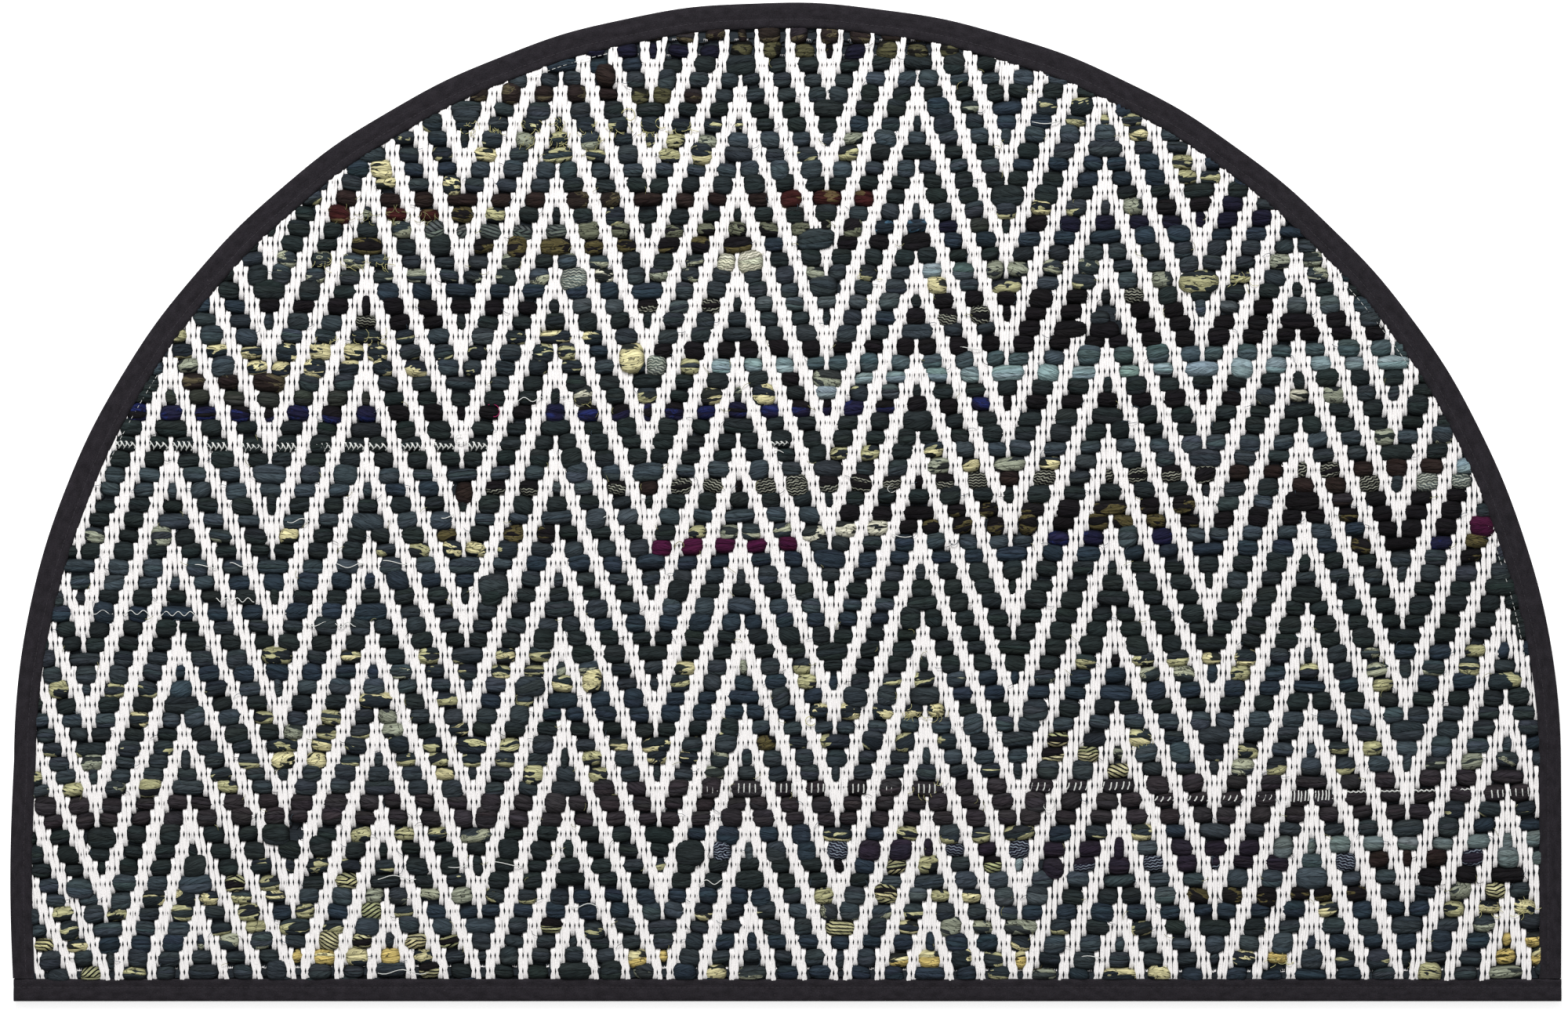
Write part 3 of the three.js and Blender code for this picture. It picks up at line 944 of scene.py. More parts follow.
def rag_piece(name, arrays, looks, top, material):
    """A mesh of rag plies, each with the colours of its cloth."""
    x, height, z, edge, depth, cloth_u, cloth_v = arrays
    count, rows, columns = x.shape
    x, height = keep_in_rim(x, height)
    if not top:
        z = under_face(z)
    z = press_under_tape(x, height, z, top)
    points = np.stack([x, height, z], axis=-1).reshape(-1, 3)
    faces = grid_quads(count, rows, columns)
    if not top:
        faces = faces[:, ::-1]
    tone = rng.normal(1, TONE_STRAY, count)[:, None] * rng.normal(1, HUE_STRAY, (count, 3))
    ink_tone = rng.normal(1, INK_STRAY, count)[:, None]
    cloths = [CLOTHS[look] for look in looks]

    def to_points(values):
        return np.repeat(np.array(values), rows * columns, axis=0)

    return make_piece(
        name, points, faces, material,
        colours={
            "ground": to_points([cloth.ground for cloth in cloths] * tone),
            "ink": to_points([cloth.ink for cloth in cloths] * ink_tone),
        },
        numbers={
            "cover": to_points([cloth.cover for cloth in cloths]),
            "knit": to_points([cloth.knit for cloth in cloths]),
            "lined": to_points([cloth.lined for cloth in cloths]),
            # painted shade at ply edges and on the floats' falling flanks
            "edge": edge.ravel(),
            "depth": depth.ravel(),
        },
        uv=np.stack([cloth_u, cloth_v], axis=-1).reshape(-1, 2),
    )


# Warp

YARN_RADIUS = 0.68
# Place along a float in picks, z, half the spread of a pair, girth, flare
YARN_STATIONS = (
    (-0.76, 2.2, 0.6, 0.9, 0.3),
    (-0.52, 4.5, 0.64, 1.1, 0.15),
    (-0.27, 5.6, 0.63, 1.16, 0.0),
    (0.0, 6.0, 0.44, 0.72, 0.0),
    (0.25, 5.6, 0.65, 1.2, 0.0),
    (0.75, 5.6, 0.65, 1.2, 0.0),
    (1.0, 6.0, 0.44, 0.72, 0.0),
    (1.25, 5.6, 0.65, 1.2, 0.0),
    (1.75, 5.6, 0.65, 1.2, 0.0),
    (2.0, 6.0, 0.44, 0.72, 0.0),
    (2.27, 5.6, 0.63, 1.16, 0.0),
    (2.52, 4.5, 0.64, 1.1, 0.15),
    (2.76, 2.2, 0.6, 0.9, 0.3),
)
UNDER_STATIONS = (0, 2, 6, 10, 12)  # which of them the plainer floats of the underside have
STEADY = 0.14  # share of a pick on each side of its middle where yarns run straight up
YARN_WRAP = 1.35  # radians from a yarn's top to where its open tube ends
YARN_LEAST_INSIDE = 1.0
YARN_SEEDS = 50

# How far yarns stray from even places and girth
PICK_STRAY = 0.11  # of each yarn sideways at each pick
TUCKED = 0.4  # picks beyond a float's last pick where its yarns are tucked in
TUCKED_SHARE = 0.3  # of the sideways stray that is left there
PAIR_STRAY = 0.04
LIFT_STRAY = 0.1
ALONG_STRAY = 0.15
GIRTH_STRAY = 0.06


def yarn_floats(floats, yarn_x, stations, edges):
    """Points of the two yarns of each warp float, as arrays of yarn, station and edge."""
    column, first, last = floats.T
    phases, heights, spreads, girths, flares = np.array([YARN_STATIONS[k] for k in stations]).T
    row = first[:, None] + np.clip(phases, 0, 2)[None, :]
    nearest = np.round(row).astype(int)
    off = row - nearest
    beside = np.clip(nearest + np.sign(off).astype(int), 0, yarn_x.shape[0] - 1)
    share = 0.5 * np.clip((np.abs(off) - STEADY) / (0.5 - STEADY), 0, 1)
    x = yarn_x[nearest, column[:, None]] * (1 - share) + yarn_x[beside, column[:, None]] * share
    before = np.sign(yarn_x[first - 1, column] - yarn_x[first, column])
    after = np.sign(yarn_x[last + 1, column] - yarn_x[last, column])
    x = x + flares * np.where(phases < 1, before[:, None], after[:, None])
    x = x + rng.normal(0, PAIR_STRAY, x.shape)
    pick = first[:, None] + phases[None, :] + FIRST_PICK
    height = pick_height(pick, x)
    near = np.clip(np.round(phases), 0, 2).astype(int)
    loose = np.where(np.abs(phases - near) < TUCKED, 1.0, TUCKED_SHARE)
    centres = []
    for hand in (-1, 1):
        sideways = rng.normal(0, PICK_STRAY, (len(column), WARP_PICKS_UP))[:, near] * loose
        yarn = x + hand * spreads[None, :] + sideways
        lift = heights[None, :] + rng.normal(0, LIFT_STRAY, x.shape)
        along = height + rng.normal(0, ALONG_STRAY, x.shape)
        centres.append(np.stack([yarn, along, lift], axis=-1))
    centre = np.concatenate(centres)
    centre[:, :, 2] = np.maximum(centre[:, :, 2], LOWEST)
    angle = np.linspace(-YARN_WRAP, YARN_WRAP, edges)
    radius = YARN_RADIUS * (girths * rng.normal(1, GIRTH_STRAY, centre.shape[:2]))[:, :, None]
    x = centre[:, :, None, 0] + radius * np.sin(angle)
    z = centre[:, :, None, 2] + radius * np.cos(angle)
    height = np.repeat(centre[:, :, None, 1], edges, axis=2)
    return x, height, z


def yarn_piece(name, arrays, top, material):
    """A mesh of warp yarns that reach as far as the sewn rim."""
    x, height, z = arrays
    middle = x.shape[1] // 2
    keep = inside_rim(x[:, middle, 0], height[:, middle, 0]) > YARN_LEAST_INSIDE
    x, height, z = x[keep], height[keep], z[keep]
    x, height = keep_in_rim(x, height)
    if not top:
        z = under_face(z)
    z = press_under_tape(x, height, z, top)
    count, rows, columns = x.shape
    faces = grid_quads(count, rows, columns)
    if top:
        faces = faces[:, ::-1]
    yarn_seed = np.repeat(rng.uniform(0, YARN_SEEDS, count), rows * columns)
    across = np.broadcast_to(np.linspace(0, 1, columns), x.shape).ravel() + yarn_seed
    points = np.stack([x, height, z], axis=-1).reshape(-1, 3)
    uv = np.stack([height.ravel(), across], axis=-1)
    return make_piece(name, points, faces, material, uv=uv)


# Core of the cloth, under the floats

CORE_BOTTOM = 1.0
CORE_DIP, CORE_CREST = 3.2, 5.0
CORE_LINES = 2  # lines of points to a pick
CORE_COLUMNS = 45
RIM_SAMPLES = 400  # places along a line where its ends are looked for
RIM_SEARCH = 5  # how far past half the width that starts


def core_top(pick):
    """z of the core's ribs, highest at each pick's middle."""
    phase = pick - np.round(pick)
    return CORE_DIP + (CORE_CREST - CORE_DIP) * np.sqrt(np.clip(1 - (2 * phase) ** 2, 0, 1))


def core_piece(material):
    """A thin closed sheet, ribbed on top by every pick, from rim to rim."""
    lines = np.arange(FIRST_PICK, LAST_PICK, 1 / CORE_LINES)
    rows = []
    for pick in lines[::-1]:
        xs = np.linspace(-HALF_WIDTH - RIM_SEARCH, HALF_WIDTH + RIM_SEARCH, RIM_SAMPLES)
        ok = inside_rim(xs, pick_height(pick, xs)) > 0
        if ok.any():
            left, right = xs[ok][0], xs[ok][-1]
            across = np.linspace(left, right, CORE_COLUMNS)
            rows.append((across, pick_height(pick, across), np.full(CORE_COLUMNS, pick)))
    grid = np.array(rows)
    x, height, pick = grid[:, 0], grid[:, 1], grid[:, 2]
    x, height = keep_in_rim(x, height)
    z_top = press_under_tape(x, height, core_top(pick), True)
    z_low = press_under_tape(x, height, np.full(x.shape, CORE_BOTTOM), False)
    shape = x.shape
    top = np.stack([x, height, z_top], axis=-1).reshape(-1, 3)
    low = np.stack([x, height, z_low], axis=-1).reshape(-1, 3)
    count = len(top)
    faces = grid_quads(1, *shape)
    index = np.arange(count).reshape(shape)
    rim = np.concatenate([index[0, :-1], index[:-1, -1], index[-1, :0:-1], index[:0:-1, 0]])
    after = np.roll(rim, -1)
    wall = np.stack([rim, rim + count, after + count, after], axis=-1)
    all_faces = np.concatenate([faces, faces[:, ::-1] + count, wall])
    both = np.concatenate([top, low])
    return make_piece("rug_core", both, all_faces, material, uv=both[:, :2])


# Binding tape

STITCH_INSET = 5.0  # from the tape's inner edge
STATION_STEP = 7.0
LEAF_POINTS = 9
LEAF_STARTS_INSIDE = 1.0
LEAF_SLACK = 0.1
LEAF_FLOOR = 0.05
SEAM_DEPTH = 0.55
SEAM_SPREAD = 0.9
PUFF = 0.25  # how far the tape stands up between its fold and the seam
EDGE_DROP = 0.5
EDGE_DROP_STARTS = 0.88
# z and inset of the points round the fold
FOLD = (
    (5.5, 0.3),
    (4.3, 0.06),
    (3.0, 0.0),
    (1.7, 0.06),
    (0.6, 0.3),
)


def tape_rings(place, out, width):
    """Rings of the folded tape round stations of an edge."""
    count = len(place)
    seam = width - STITCH_INSET
    share = np.linspace(0, 1, LEAF_POINTS)
    inset = LEAF_STARTS_INSIDE + (width[:, None] - LEAF_STARTS_INSIDE) * share[None, :]
    groove = SEAM_DEPTH * np.exp(-(((inset - seam[:, None]) / SEAM_SPREAD) ** 2))
    puff = PUFF * np.sin(np.pi * np.clip(inset / seam[:, None], 0, 1))
    edge = EDGE_DROP * smoothstep(EDGE_DROP_STARTS, 1.0, share)[None, :]
    top = BINDING_HEIGHT - LEAF_SLACK + puff - groove - edge
    low = np.full(inset.shape, LEAF_FLOOR)
    fold_z, fold_in = np.array(FOLD).T
    outer_in = np.concatenate([inset[:, ::-1], np.repeat(fold_in[None], count, 0), inset], axis=1)
    outer_z = np.concatenate([top[:, ::-1], np.repeat(fold_z[None], count, 0), low], axis=1)
    inner_in = np.stack([width, np.full(count, TAPE), np.full(count, TAPE), width], axis=1)
    inner_z = np.stack([
        np.full(count, TAPE), np.full(count, TAPE),
        np.full(count, BINDING_HEIGHT - TAPE), np.full(count, BINDING_HEIGHT - TAPE),
    ], axis=1)
    ring_in = np.concatenate([outer_in, inner_in], axis=1)
    ring_z = np.concatenate([outer_z, inner_z], axis=1)
    xy = place[:, None, :] - out[:, None, :] * ring_in[:, :, None]
    return np.concatenate([xy, ring_z[:, :, None]], axis=2)


def tape_piece(name, place, out, width, material):
    """A strip of folded tape along stations of an edge, open at its ends."""
    rings = tape_rings(place, out, width)
    count, around = rings.shape[:2]
    index = np.arange(count * around).reshape(count, around)
    near, after = index[:-1], np.roll(index, -1, axis=1)[:-1]
    far, far_after = index[1:], np.roll(index, -1, axis=1)[1:]
    faces = np.stack([near, after, far_after, far], axis=-1).reshape(-1, 4)
    walked = np.concatenate([[0], np.cumsum(np.linalg.norm(np.diff(place, axis=0), axis=1))])
    girth = np.concatenate([[0], np.cumsum(np.linalg.norm(np.diff(rings[0], axis=0), axis=1))])
    uv = np.stack(np.broadcast_arrays(walked[:, None], girth[None, :]), axis=-1).reshape(-1, 2)
    return make_piece(name, rings.reshape(-1, 3), faces, material, uv=uv)


def arc_stations():
    """(places, ways out, tape widths) up the right side, over the arc and down the left side."""
    side = np.arange(STRAIGHT_TAPE + GAP, SIDE_RUN, STATION_STEP)
    degrees = np.linspace(0, 180, int(np.pi * HALF_WIDTH / STATION_STEP))
    angle = np.radians(degrees)
    out = np.stack([ARC_RISE * np.cos(angle), HALF_WIDTH * np.sin(angle)], axis=-1)
    out /= np.linalg.norm(out, axis=1, keepdims=True)
    arc = np.stack([HALF_WIDTH * np.cos(angle), SIDE_RUN + ARC_RISE * np.sin(angle)], axis=-1)
    arc += out * wander(degrees)[:, None]
    right = np.stack([arc[0, 0] + RIGHT_BULGE * np.sin(np.pi * side / SIDE_RUN), side], axis=-1)
    left = np.stack([arc[-1, 0] - LEFT_BULGE * np.sin(np.pi * side / SIDE_RUN), side], axis=-1)
    place = np.concatenate([right, arc, left[::-1]])
    right_out = np.tile([1.0, 0.0], (len(side), 1))
    left_out = np.tile([-1.0, 0.0], (len(side), 1))
    outs = np.concatenate([right_out, out, left_out])
    width = side_tape_width(place[:, 0], place[:, 1])
    return place, outs, width


def straight_stations():
    """(places, ways out, tape widths) along the straight edge."""
    left, right = -HALF_WIDTH, HALF_WIDTH + float(wander(0))
    xs = np.linspace(left, right, int((right - left) / STATION_STEP))
    place = np.stack([xs, np.zeros_like(xs)], axis=-1)
    return place, np.tile([0.0, -1.0], (len(xs), 1)), np.full(len(xs), STRAIGHT_TAPE)


# Threads: the binding's stitches, stitches left on old cloth, curls and frays

THREAD_TINTS = {
    "white": linear(226, 228, 224),
    "yellow": linear(200, 196, 140),
    "olive": linear(150, 148, 104),
    "magenta": linear(170, 40, 100),
    "slate": linear(70, 84, 96),
    "black": linear(22, 21, 24),
    "tape": linear(66, 63, 68),
}
# Stretches of arc in degrees that show a fine white seam beside the binding
OLD_SEAM = (
    (5, 19),
    (33, 42),
    (104, 110),
    (148, 158),
)
OLD_SEAM_INSET = 3.0  # from the tape's inner edge
OLD_SEAM_Z = 8.0
OLD_SEAM_STITCH, OLD_SEAM_PITCH = 0.28, 0.46  # degrees
OLD_SEAM_ROUNDS = 6
# The binding's stitches
TAPE_STITCH_PITCH = 3.0
TAPE_STITCHES_START, TAPE_STITCHES_END = 2.0, 4.0
TAPE_STITCH_ALONG = (0.0, 0.35, 1.85, 2.2)
TAPE_STITCH_RISE = (-0.2, 0.1, 0.1, -0.2)
# Radius of each kind of thread
TAPE_STITCH_RADIUS = 0.22
OLD_SEAM_RADIUS = 0.2
STITCH_RADIUS = 0.55
CURL_RADIUS = 0.26
LOOSE_END_RADIUS = 0.3
FRAY_RADIUS = 0.17
FUZZ_RADIUS = 0.16
# Stitches of an old hem that stay on a rag. Pick, from x, to x, spacing, lowest and highest place across
# the rag, slant, kind
STITCHED_RAGS = (
    (-9, -395, -172, 3.2, -0.85, 0.35, 0.8, "squiggle"),
    (-9, -14, 14, 3.0, -0.85, -0.1, 0.8, "squiggle"),
    (14, -50, 92, 3.2, -0.6, 0.55, 0.1, "bars"),
    (14, 144, 202, 3.6, -0.5, 0.5, 1.2, "bars"),
    (15, 212, 284, 3.6, -0.2, 0.5, 1.6, "bars"),
    (15, 290, 316, 2.0, -0.4, 0.9, 0.5, "bars"),
    (15, 326, 400, 3.2, 0.45, 0.7, 0.5, "squiggle"),
    (15, 404, 430, 3.4, -0.5, 0.5, -0.4, "bars"),
    (0, -10, 0, 1.8, -0.6, -0.3, 0.9, "squiggle"),
)
BAR_LEFT, BAR_RIGHT = 0.4, 0.6  # room left at a float's ends
BAR_ENDS = 0.15
BAR_BOW = (0.0, 0.55, 0.85, 1.0)
SQUIGGLE_POINTS = 7  # to a turn
STITCH_LIFT = 0.4
# Curled threads. x, pick, size, tint
CURLS = (
    (-190, -9.4, 7, "white"),
    (-171, -11, 9, "magenta"),
    (13, 9.5, 6, "yellow"),
    (-92, -30.6, 8, "yellow"),
    (-74, -30.2, 7, "yellow"),
    (151, 15.2, 8, "white"),
    (60, -5.6, 5, "white"),
    (96, -2, 5, "slate"),
    (222, 3.2, 7, "slate"),
    (-62, -2, 6, "olive"),
)
CURL_Z = 7.9
# Frayed rags. Pick, from x, to x, tint
FRAYS = (
    (-30, -195, -60, "yellow"),
    (-29, -159, -108, "yellow"),
    (-21, -277, -229, "yellow"),
    (-20, 45, 60, "yellow"),
    (-19, 261, 274, "yellow"),
    (-12, -126, -112, "yellow"),
    (-16, -273, -235, "yellow"),
    (9, 62, 90, "yellow"),
    (11, 198, 212, "yellow"),
    (14, 78, 92, "yellow"),
    (20, 364, 436, "black"),
    (25, 268, 290, "yellow"),
    (22, 400, 432, "yellow"),
    (-24, -265, -205, "olive"),
)
FRAY_ENDS = 9  # ravelled ends on each float
FRAY_Z = 7.3
# White threads that lie along a rag. Pick, from x, to x, place across the rag, waves
LOOSE_ENDS = (
    (2, -406, -392, 0.1, 1.5),
    (2, -386, -371, 0.1, 2.0),
    (2, -364, -343, 0.0, 3.0),
    (1, -332, -310, -0.4, 3.5),
    (3, -280, -266, 0.3, 1.0),
    (3, -263, -250, 0.2, 1.5),
    (-1, -346, -332, 0.1, 0.5),
    (-1, -324, -310, 0.3, 1.0),
    (-1, -262, -246, 0.1, 1.0),
    (-1, -235, -221, 0.4, 0.5),
    (-4, -291, -278, 0.0, 1.0),
    (-4, -202, -194, 0.5, 0.5),
    (-4, -112, -104, 0.1, 0.5),
    (20, -52, -38, -0.1, 1.5),
    (20, -238, -216, 0.4, 1.0),
    (22, -126, -110, 0.6, 1.0),
    (26, -238, -206, -0.2, 1.5),
    (25, 170, 184, 0.2, 0.5),
    (-30, 142, 158, -0.1, 0.5),
    (-15, 96, 112, -0.4, 0.5),
    (-8, -8, -2, 0.3, 0.5),
    (-12, -157, -142, -0.2, 1.5),
    (-3, 60, 72, -0.9, 0.5),
    (19, -200, -186, 0.1, 0.5),
    (19, -170, -154, 0.2, 0.5),
)
LOOSE_END_SWING = 1.3
FUZZ_SHARE = 0.3  # of rag floats that have a raised fibre
FUZZ_TINTS = ("black", "slate", "slate", "olive")
FUZZ_LEAST_INSIDE = 8  # from the tape's inner edge
THREAD_SIDES = 3


class Threads:
    """Many short threads that become one mesh."""

    def __init__(self):
        self.points, self.faces, self.tints, self.count = [], [], [], 0

    def add(self, line, radius, tint):
        """A thread along a line of (x, height, z), flat-ended."""
        line = np.asarray(line, float)
        ahead = np.gradient(line, axis=0)
        ahead /= np.linalg.norm(ahead, axis=1, keepdims=True)
        across = np.cross(ahead, [0.0, 0.0, 1.0])
        across /= np.maximum(np.linalg.norm(across, axis=1, keepdims=True), 1e-6)
        up = np.cross(across, ahead)
        angle = np.pi / 2 + np.arange(THREAD_SIDES) * 2 * np.pi / THREAD_SIDES
        cosine, sine = np.cos(angle)[None, :, None], np.sin(angle)[None, :, None]
        ring = across[:, None] * cosine + up[:, None] * sine
        points = line[:, None] + radius * ring
        index = self.count + np.arange(points.shape[0] * THREAD_SIDES).reshape(-1, THREAD_SIDES)
        after = np.roll(index, -1, axis=1)
        quads = np.stack([index[:-1], index[1:], after[1:], after[:-1]], axis=-1).reshape(-1, 4)
        self.points.append(points.reshape(-1, 3))
        self.faces.append(quads)
        self.tints.append(np.tile(THREAD_TINTS[tint], (index.size, 1)))
        self.count += index.size

    def piece(self, name, material):
        """All the threads as one mesh."""
        points, faces = np.concatenate(self.points), np.concatenate(self.faces)
        tints = {"tint": np.concatenate(self.tints)}
        uv = points[:, :2]
        return make_piece(name, points, faces, material, colours=tints, uv=uv)


def rag_surface(side, end):
    """z of a rag's top at shares of its half height and half length."""
    side_rise = rounded((1 - np.abs(side)) * FLOAT_HALF_HEIGHT, SIDE_ROUNDING)
    end_rise = rounded((1 - np.abs(end)) * FLOAT_HALF_LENGTH, END_ROUNDING)
    return FLOAT_RIM + (FLOAT_CROWN - FLOAT_RIM) * side_rise * end_rise


def tape_stitches(threads, place, out, width):
    """A seam of short stitches along the binding."""
    walked = np.concatenate([[0], np.cumsum(np.linalg.norm(np.diff(place, axis=0), axis=1))])
    seam = place - out * (width - STITCH_INSET)[:, None]
    last = walked[-1] - TAPE_STITCHES_END
    for start in np.arange(TAPE_STITCHES_START, last, TAPE_STITCH_PITCH):
        at = start + np.array(TAPE_STITCH_ALONG)
        x, height = (np.interp(at, walked, seam[:, k]) for k in (0, 1))
        z = BINDING_HEIGHT - SEAM_DEPTH + np.array(TAPE_STITCH_RISE)
        threads.add(np.stack([x, height, z], axis=-1), TAPE_STITCH_RADIUS, "tape")


def old_seam(threads):
    """Short stitches along the arc, each moved in until it lies at its distance from the tape."""
    for first, last in OLD_SEAM:
        degrees = first
        while degrees < last:
            angle = np.radians(degrees + np.array([0.0, OLD_SEAM_STITCH]))
            reach = 1.0
            for _ in range(OLD_SEAM_ROUNDS):
                x = HALF_WIDTH * np.cos(angle) * reach
                height = SIDE_RUN + ARC_RISE * np.sin(angle) * reach
                reach = reach + (inside_tape(x, height) - OLD_SEAM_INSET) / HALF_WIDTH
            line = np.stack([x, height, np.full(2, OLD_SEAM_Z)], axis=-1)
            threads.add(line, OLD_SEAM_RADIUS, "white")
            degrees += OLD_SEAM_PITCH


def stitched_rag(threads, floats, row):
    """Stitches of an old hem, where they show on a pick's rag floats."""
    pick, start, end, spacing, low, high, slant, kind = row
    for _, left, right, _ in floats[floats[:, 0] == pick]:
        middle, half = (left + right) / 2, (right - left) / 2 + FLOAT_TUCK
        if not start <= middle <= end:
            continue
        lines = []
        if kind == "bars":
            for x in np.arange(left + BAR_LEFT, right - BAR_RIGHT, spacing):
                foot = low + rng.uniform(0, BAR_ENDS)
                head = high - rng.uniform(0, BAR_ENDS)
                sides = np.linspace(foot, head, len(BAR_BOW))
                bow = slant * np.array(BAR_BOW) + rng.normal(0, 0.08, len(BAR_BOW))
                lines.append((x + rng.uniform(-0.3, 0.3) + bow, sides))
        else:
            turns = max(1, round((right - left) / spacing))
            share = np.linspace(0, 1, SQUIGGLE_POINTS * turns + 1)
            reach = np.interp(share * turns, np.arange(turns + 1), rng.uniform(0.45, 1.0, turns + 1))
            wave = np.sin(2 * np.pi * turns * share)
            curl_back = slant * np.sin(4 * np.pi * turns * share + 0.8)
            sides = (low + high) / 2 + (high - low) / 2 * wave * reach
            lines.append((left + (right - left) * share + curl_back, sides))
        for xs, sides in lines:
            z = rag_surface(sides, (xs - middle) / half) + STITCH_LIFT
            height = pick_height(pick, xs) + sides * FLOAT_HALF_HEIGHT
            threads.add(np.stack([xs, height, z], axis=-1), STITCH_RADIUS, "white")


def curl(threads, x, pick, size, tint):
    """A loose thread that lies in a curl on the rug."""
    turn, heading = rng.uniform(3, 6), rng.uniform(0, 2 * np.pi)
    share = np.linspace(0, 1, 16)
    angle = heading + turn * share
    radius = size * (0.25 + 0.35 * share)
    xs = x + radius * np.cos(angle)
    heights = pick_height(pick, x) + radius * np.sin(angle)
    z = CURL_Z + 0.5 * np.sin(5 * share)
    threads.add(np.stack([xs, heights, z], axis=-1), CURL_RADIUS, tint)


def loose_end(threads, pick, start, end, side, waves):
    """A thin thread that wanders along a pick."""
    share = np.linspace(0, 1, 5 + int(6 * waves))
    xs = start + (end - start) * share
    rise = LOOSE_END_SWING * np.sin(2 * np.pi * waves * share + rng.uniform(0, 6))
    heights = pick_height(pick, xs) + side * FLOAT_HALF_HEIGHT + rise
    z = FLOAT_CROWN + 0.5 - 1.2 * np.abs(2 * share - 1) ** 4
    threads.add(np.stack([xs, heights, z], axis=-1), LOOSE_END_RADIUS, "white")


def fuzz(threads, floats):
    """Single fibres that stand off the rags and lie over the yarns beside them."""
    for pick, left, right, _ in floats:
        middle = (left + right) / 2
        inside = inside_tape(middle, pick_height(pick, middle))
        if rng.random() > FUZZ_SHARE or inside < FUZZ_LEAST_INSIDE:
            continue
        hand = rng.choice((-1, 1))
        share = np.linspace(0, 1, 4)
        heading, turn, length = rng.uniform(-1.2, 1.2), rng.uniform(-1.5, 1.5), rng.uniform(3, 6)
        angle = heading + turn * share
        xs = middle + hand * ((right - left) / 2 - 1.5 + length * share * np.cos(angle))
        heights = pick_height(pick, middle) + rng.uniform(-4, 4) + length * share * np.sin(angle)
        z = CREST + 0.2 + 0.9 * np.sin(np.pi * share) - 0.3 * share
        threads.add(np.stack([xs, heights, z], axis=-1), FUZZ_RADIUS, str(rng.choice(FUZZ_TINTS)))


def fray(threads, pick, start, end, tint, floats):
    """Ravelled ends on the rags of a pick."""
    for _, left, right, _ in floats[floats[:, 0] == pick]:
        middle = (left + right) / 2
        if not start <= middle <= end:
            continue
        for _ in range(FRAY_ENDS):
            foot_x = rng.uniform(left, right)
            foot_height = pick_height(pick, middle) + rng.uniform(-4.5, 2.0)
            heading, turn, length = rng.uniform(-2.6, 0.4), rng.uniform(-2, 2), rng.uniform(2.5, 6)
            share = np.linspace(0, 1, 5)
            angle = heading + turn * share
            xs = foot_x + length * share * np.cos(angle)
            heights = foot_height + length * share * np.sin(angle)
            z = FRAY_Z + 0.7 * np.sin(np.pi * share) - 0.6 * share
            threads.add(np.stack([xs, heights, z], axis=-1), FRAY_RADIUS, tint)


# Materials

SPECULAR = 0.12
FLOOR_GLOW = 0.6


class Graph:
    """A node material that is built up by name."""

    def __init__(self, name, roughness=0.95, sheen=0.0):
        self.material = bpy.data.materials.new(name)
        self.material.use_nodes = True
        self.tree = self.material.node_tree
        self.shader = self.tree.nodes["Principled BSDF"]
        self.shader.inputs["Roughness"].default_value = roughness
        self.shader.inputs["Specular IOR Level"].default_value = SPECULAR
        self.shader.inputs["Sheen Weight"].default_value = sheen

    def node(self, kind, settings=None, **inputs):
        made = self.tree.nodes.new(kind)
        for key, value in (settings or {}).items():
            setattr(made, key, value)
        for key, value in inputs.items():
            self.put(made.inputs[int(key[1:])] if key[0] == "_" else made.inputs[key], value)
        return made

    def put(self, socket, value):
        if isinstance(value, bpy.types.NodeSocket):
            self.tree.links.new(value, socket)
        else:
            socket.default_value = value

    def attribute(self, name, output="Color"):
        return self.node("ShaderNodeAttribute", {"attribute_name": name}).outputs[output]

    def math(self, operation, a, b=0.0, clamp=False):
        settings = {"operation": operation, "use_clamp": clamp}
        return self.node("ShaderNodeMath", settings, _0=a, _1=b).outputs[0]

    def times(self, a, b):
        return self.math("MULTIPLY", a, b)

    def ramp(self, start, value, slope):
        """start + value * slope"""
        return self.math("ADD", start, self.times(value, slope))

    def less(self, value, share):
        """1 - value * share"""
        return self.math("SUBTRACT", 1.0, self.times(value, share))

    def mix(self, share, a, b, blend="MIX"):
        settings = {"data_type": "RGBA", "blend_type": blend}
        return self.node("ShaderNodeMix", settings, _0=share, _6=a, _7=b).outputs[2]

    def shade(self, colour, factor):
        """A colour made darker or lighter by a factor."""
        return self.mix(1.0, colour, factor, "MULTIPLY")

    def uv(self, scale):
        where = self.node("ShaderNodeUVMap", {"uv_map": "cloth"}).outputs[0]
        return self.node("ShaderNodeMapping", Vector=where, Scale=(*scale, 1.0)).outputs[0]

    def noise(self, vector, scale=1.0, detail=2.0):
        return self.node("ShaderNodeTexNoise", Vector=vector, Scale=scale, Detail=detail).outputs[0]

    def bump(self, height, distance, before=None):
        made = self.node("ShaderNodeBump", Strength=1.0, Distance=distance, Height=height)
        if before is not None:
            self.put(made.inputs["Normal"], before)
        return made.outputs[0]

    def zigzag(self, wave, swing, spacing, share=0.5):
        """1 on zigzag stripes, which fill a share of the cloth, and 0 between them."""
        along, over = self.node("ShaderNodeSeparateXYZ", Vector=self.uv((1, 1))).outputs[:2]
        saw = self.math("PINGPONG", along, wave / 2)
        lifted = self.ramp(over, saw, 2 * swing / wave)
        place = self.math("FRACT", self.math("DIVIDE", lifted, spacing))
        return self.math("LESS_THAN", place, share)

    def finish(self, colour, normal=None):
        self.put(self.shader.inputs["Base Color"], colour)
        if normal is not None:
            self.put(self.shader.inputs["Normal"], normal)
        return self.material


def opaque(r, g, b):
    """A screen colour of 0 to 255 as a node takes it."""
    return (*linear(r, g, b), 1)


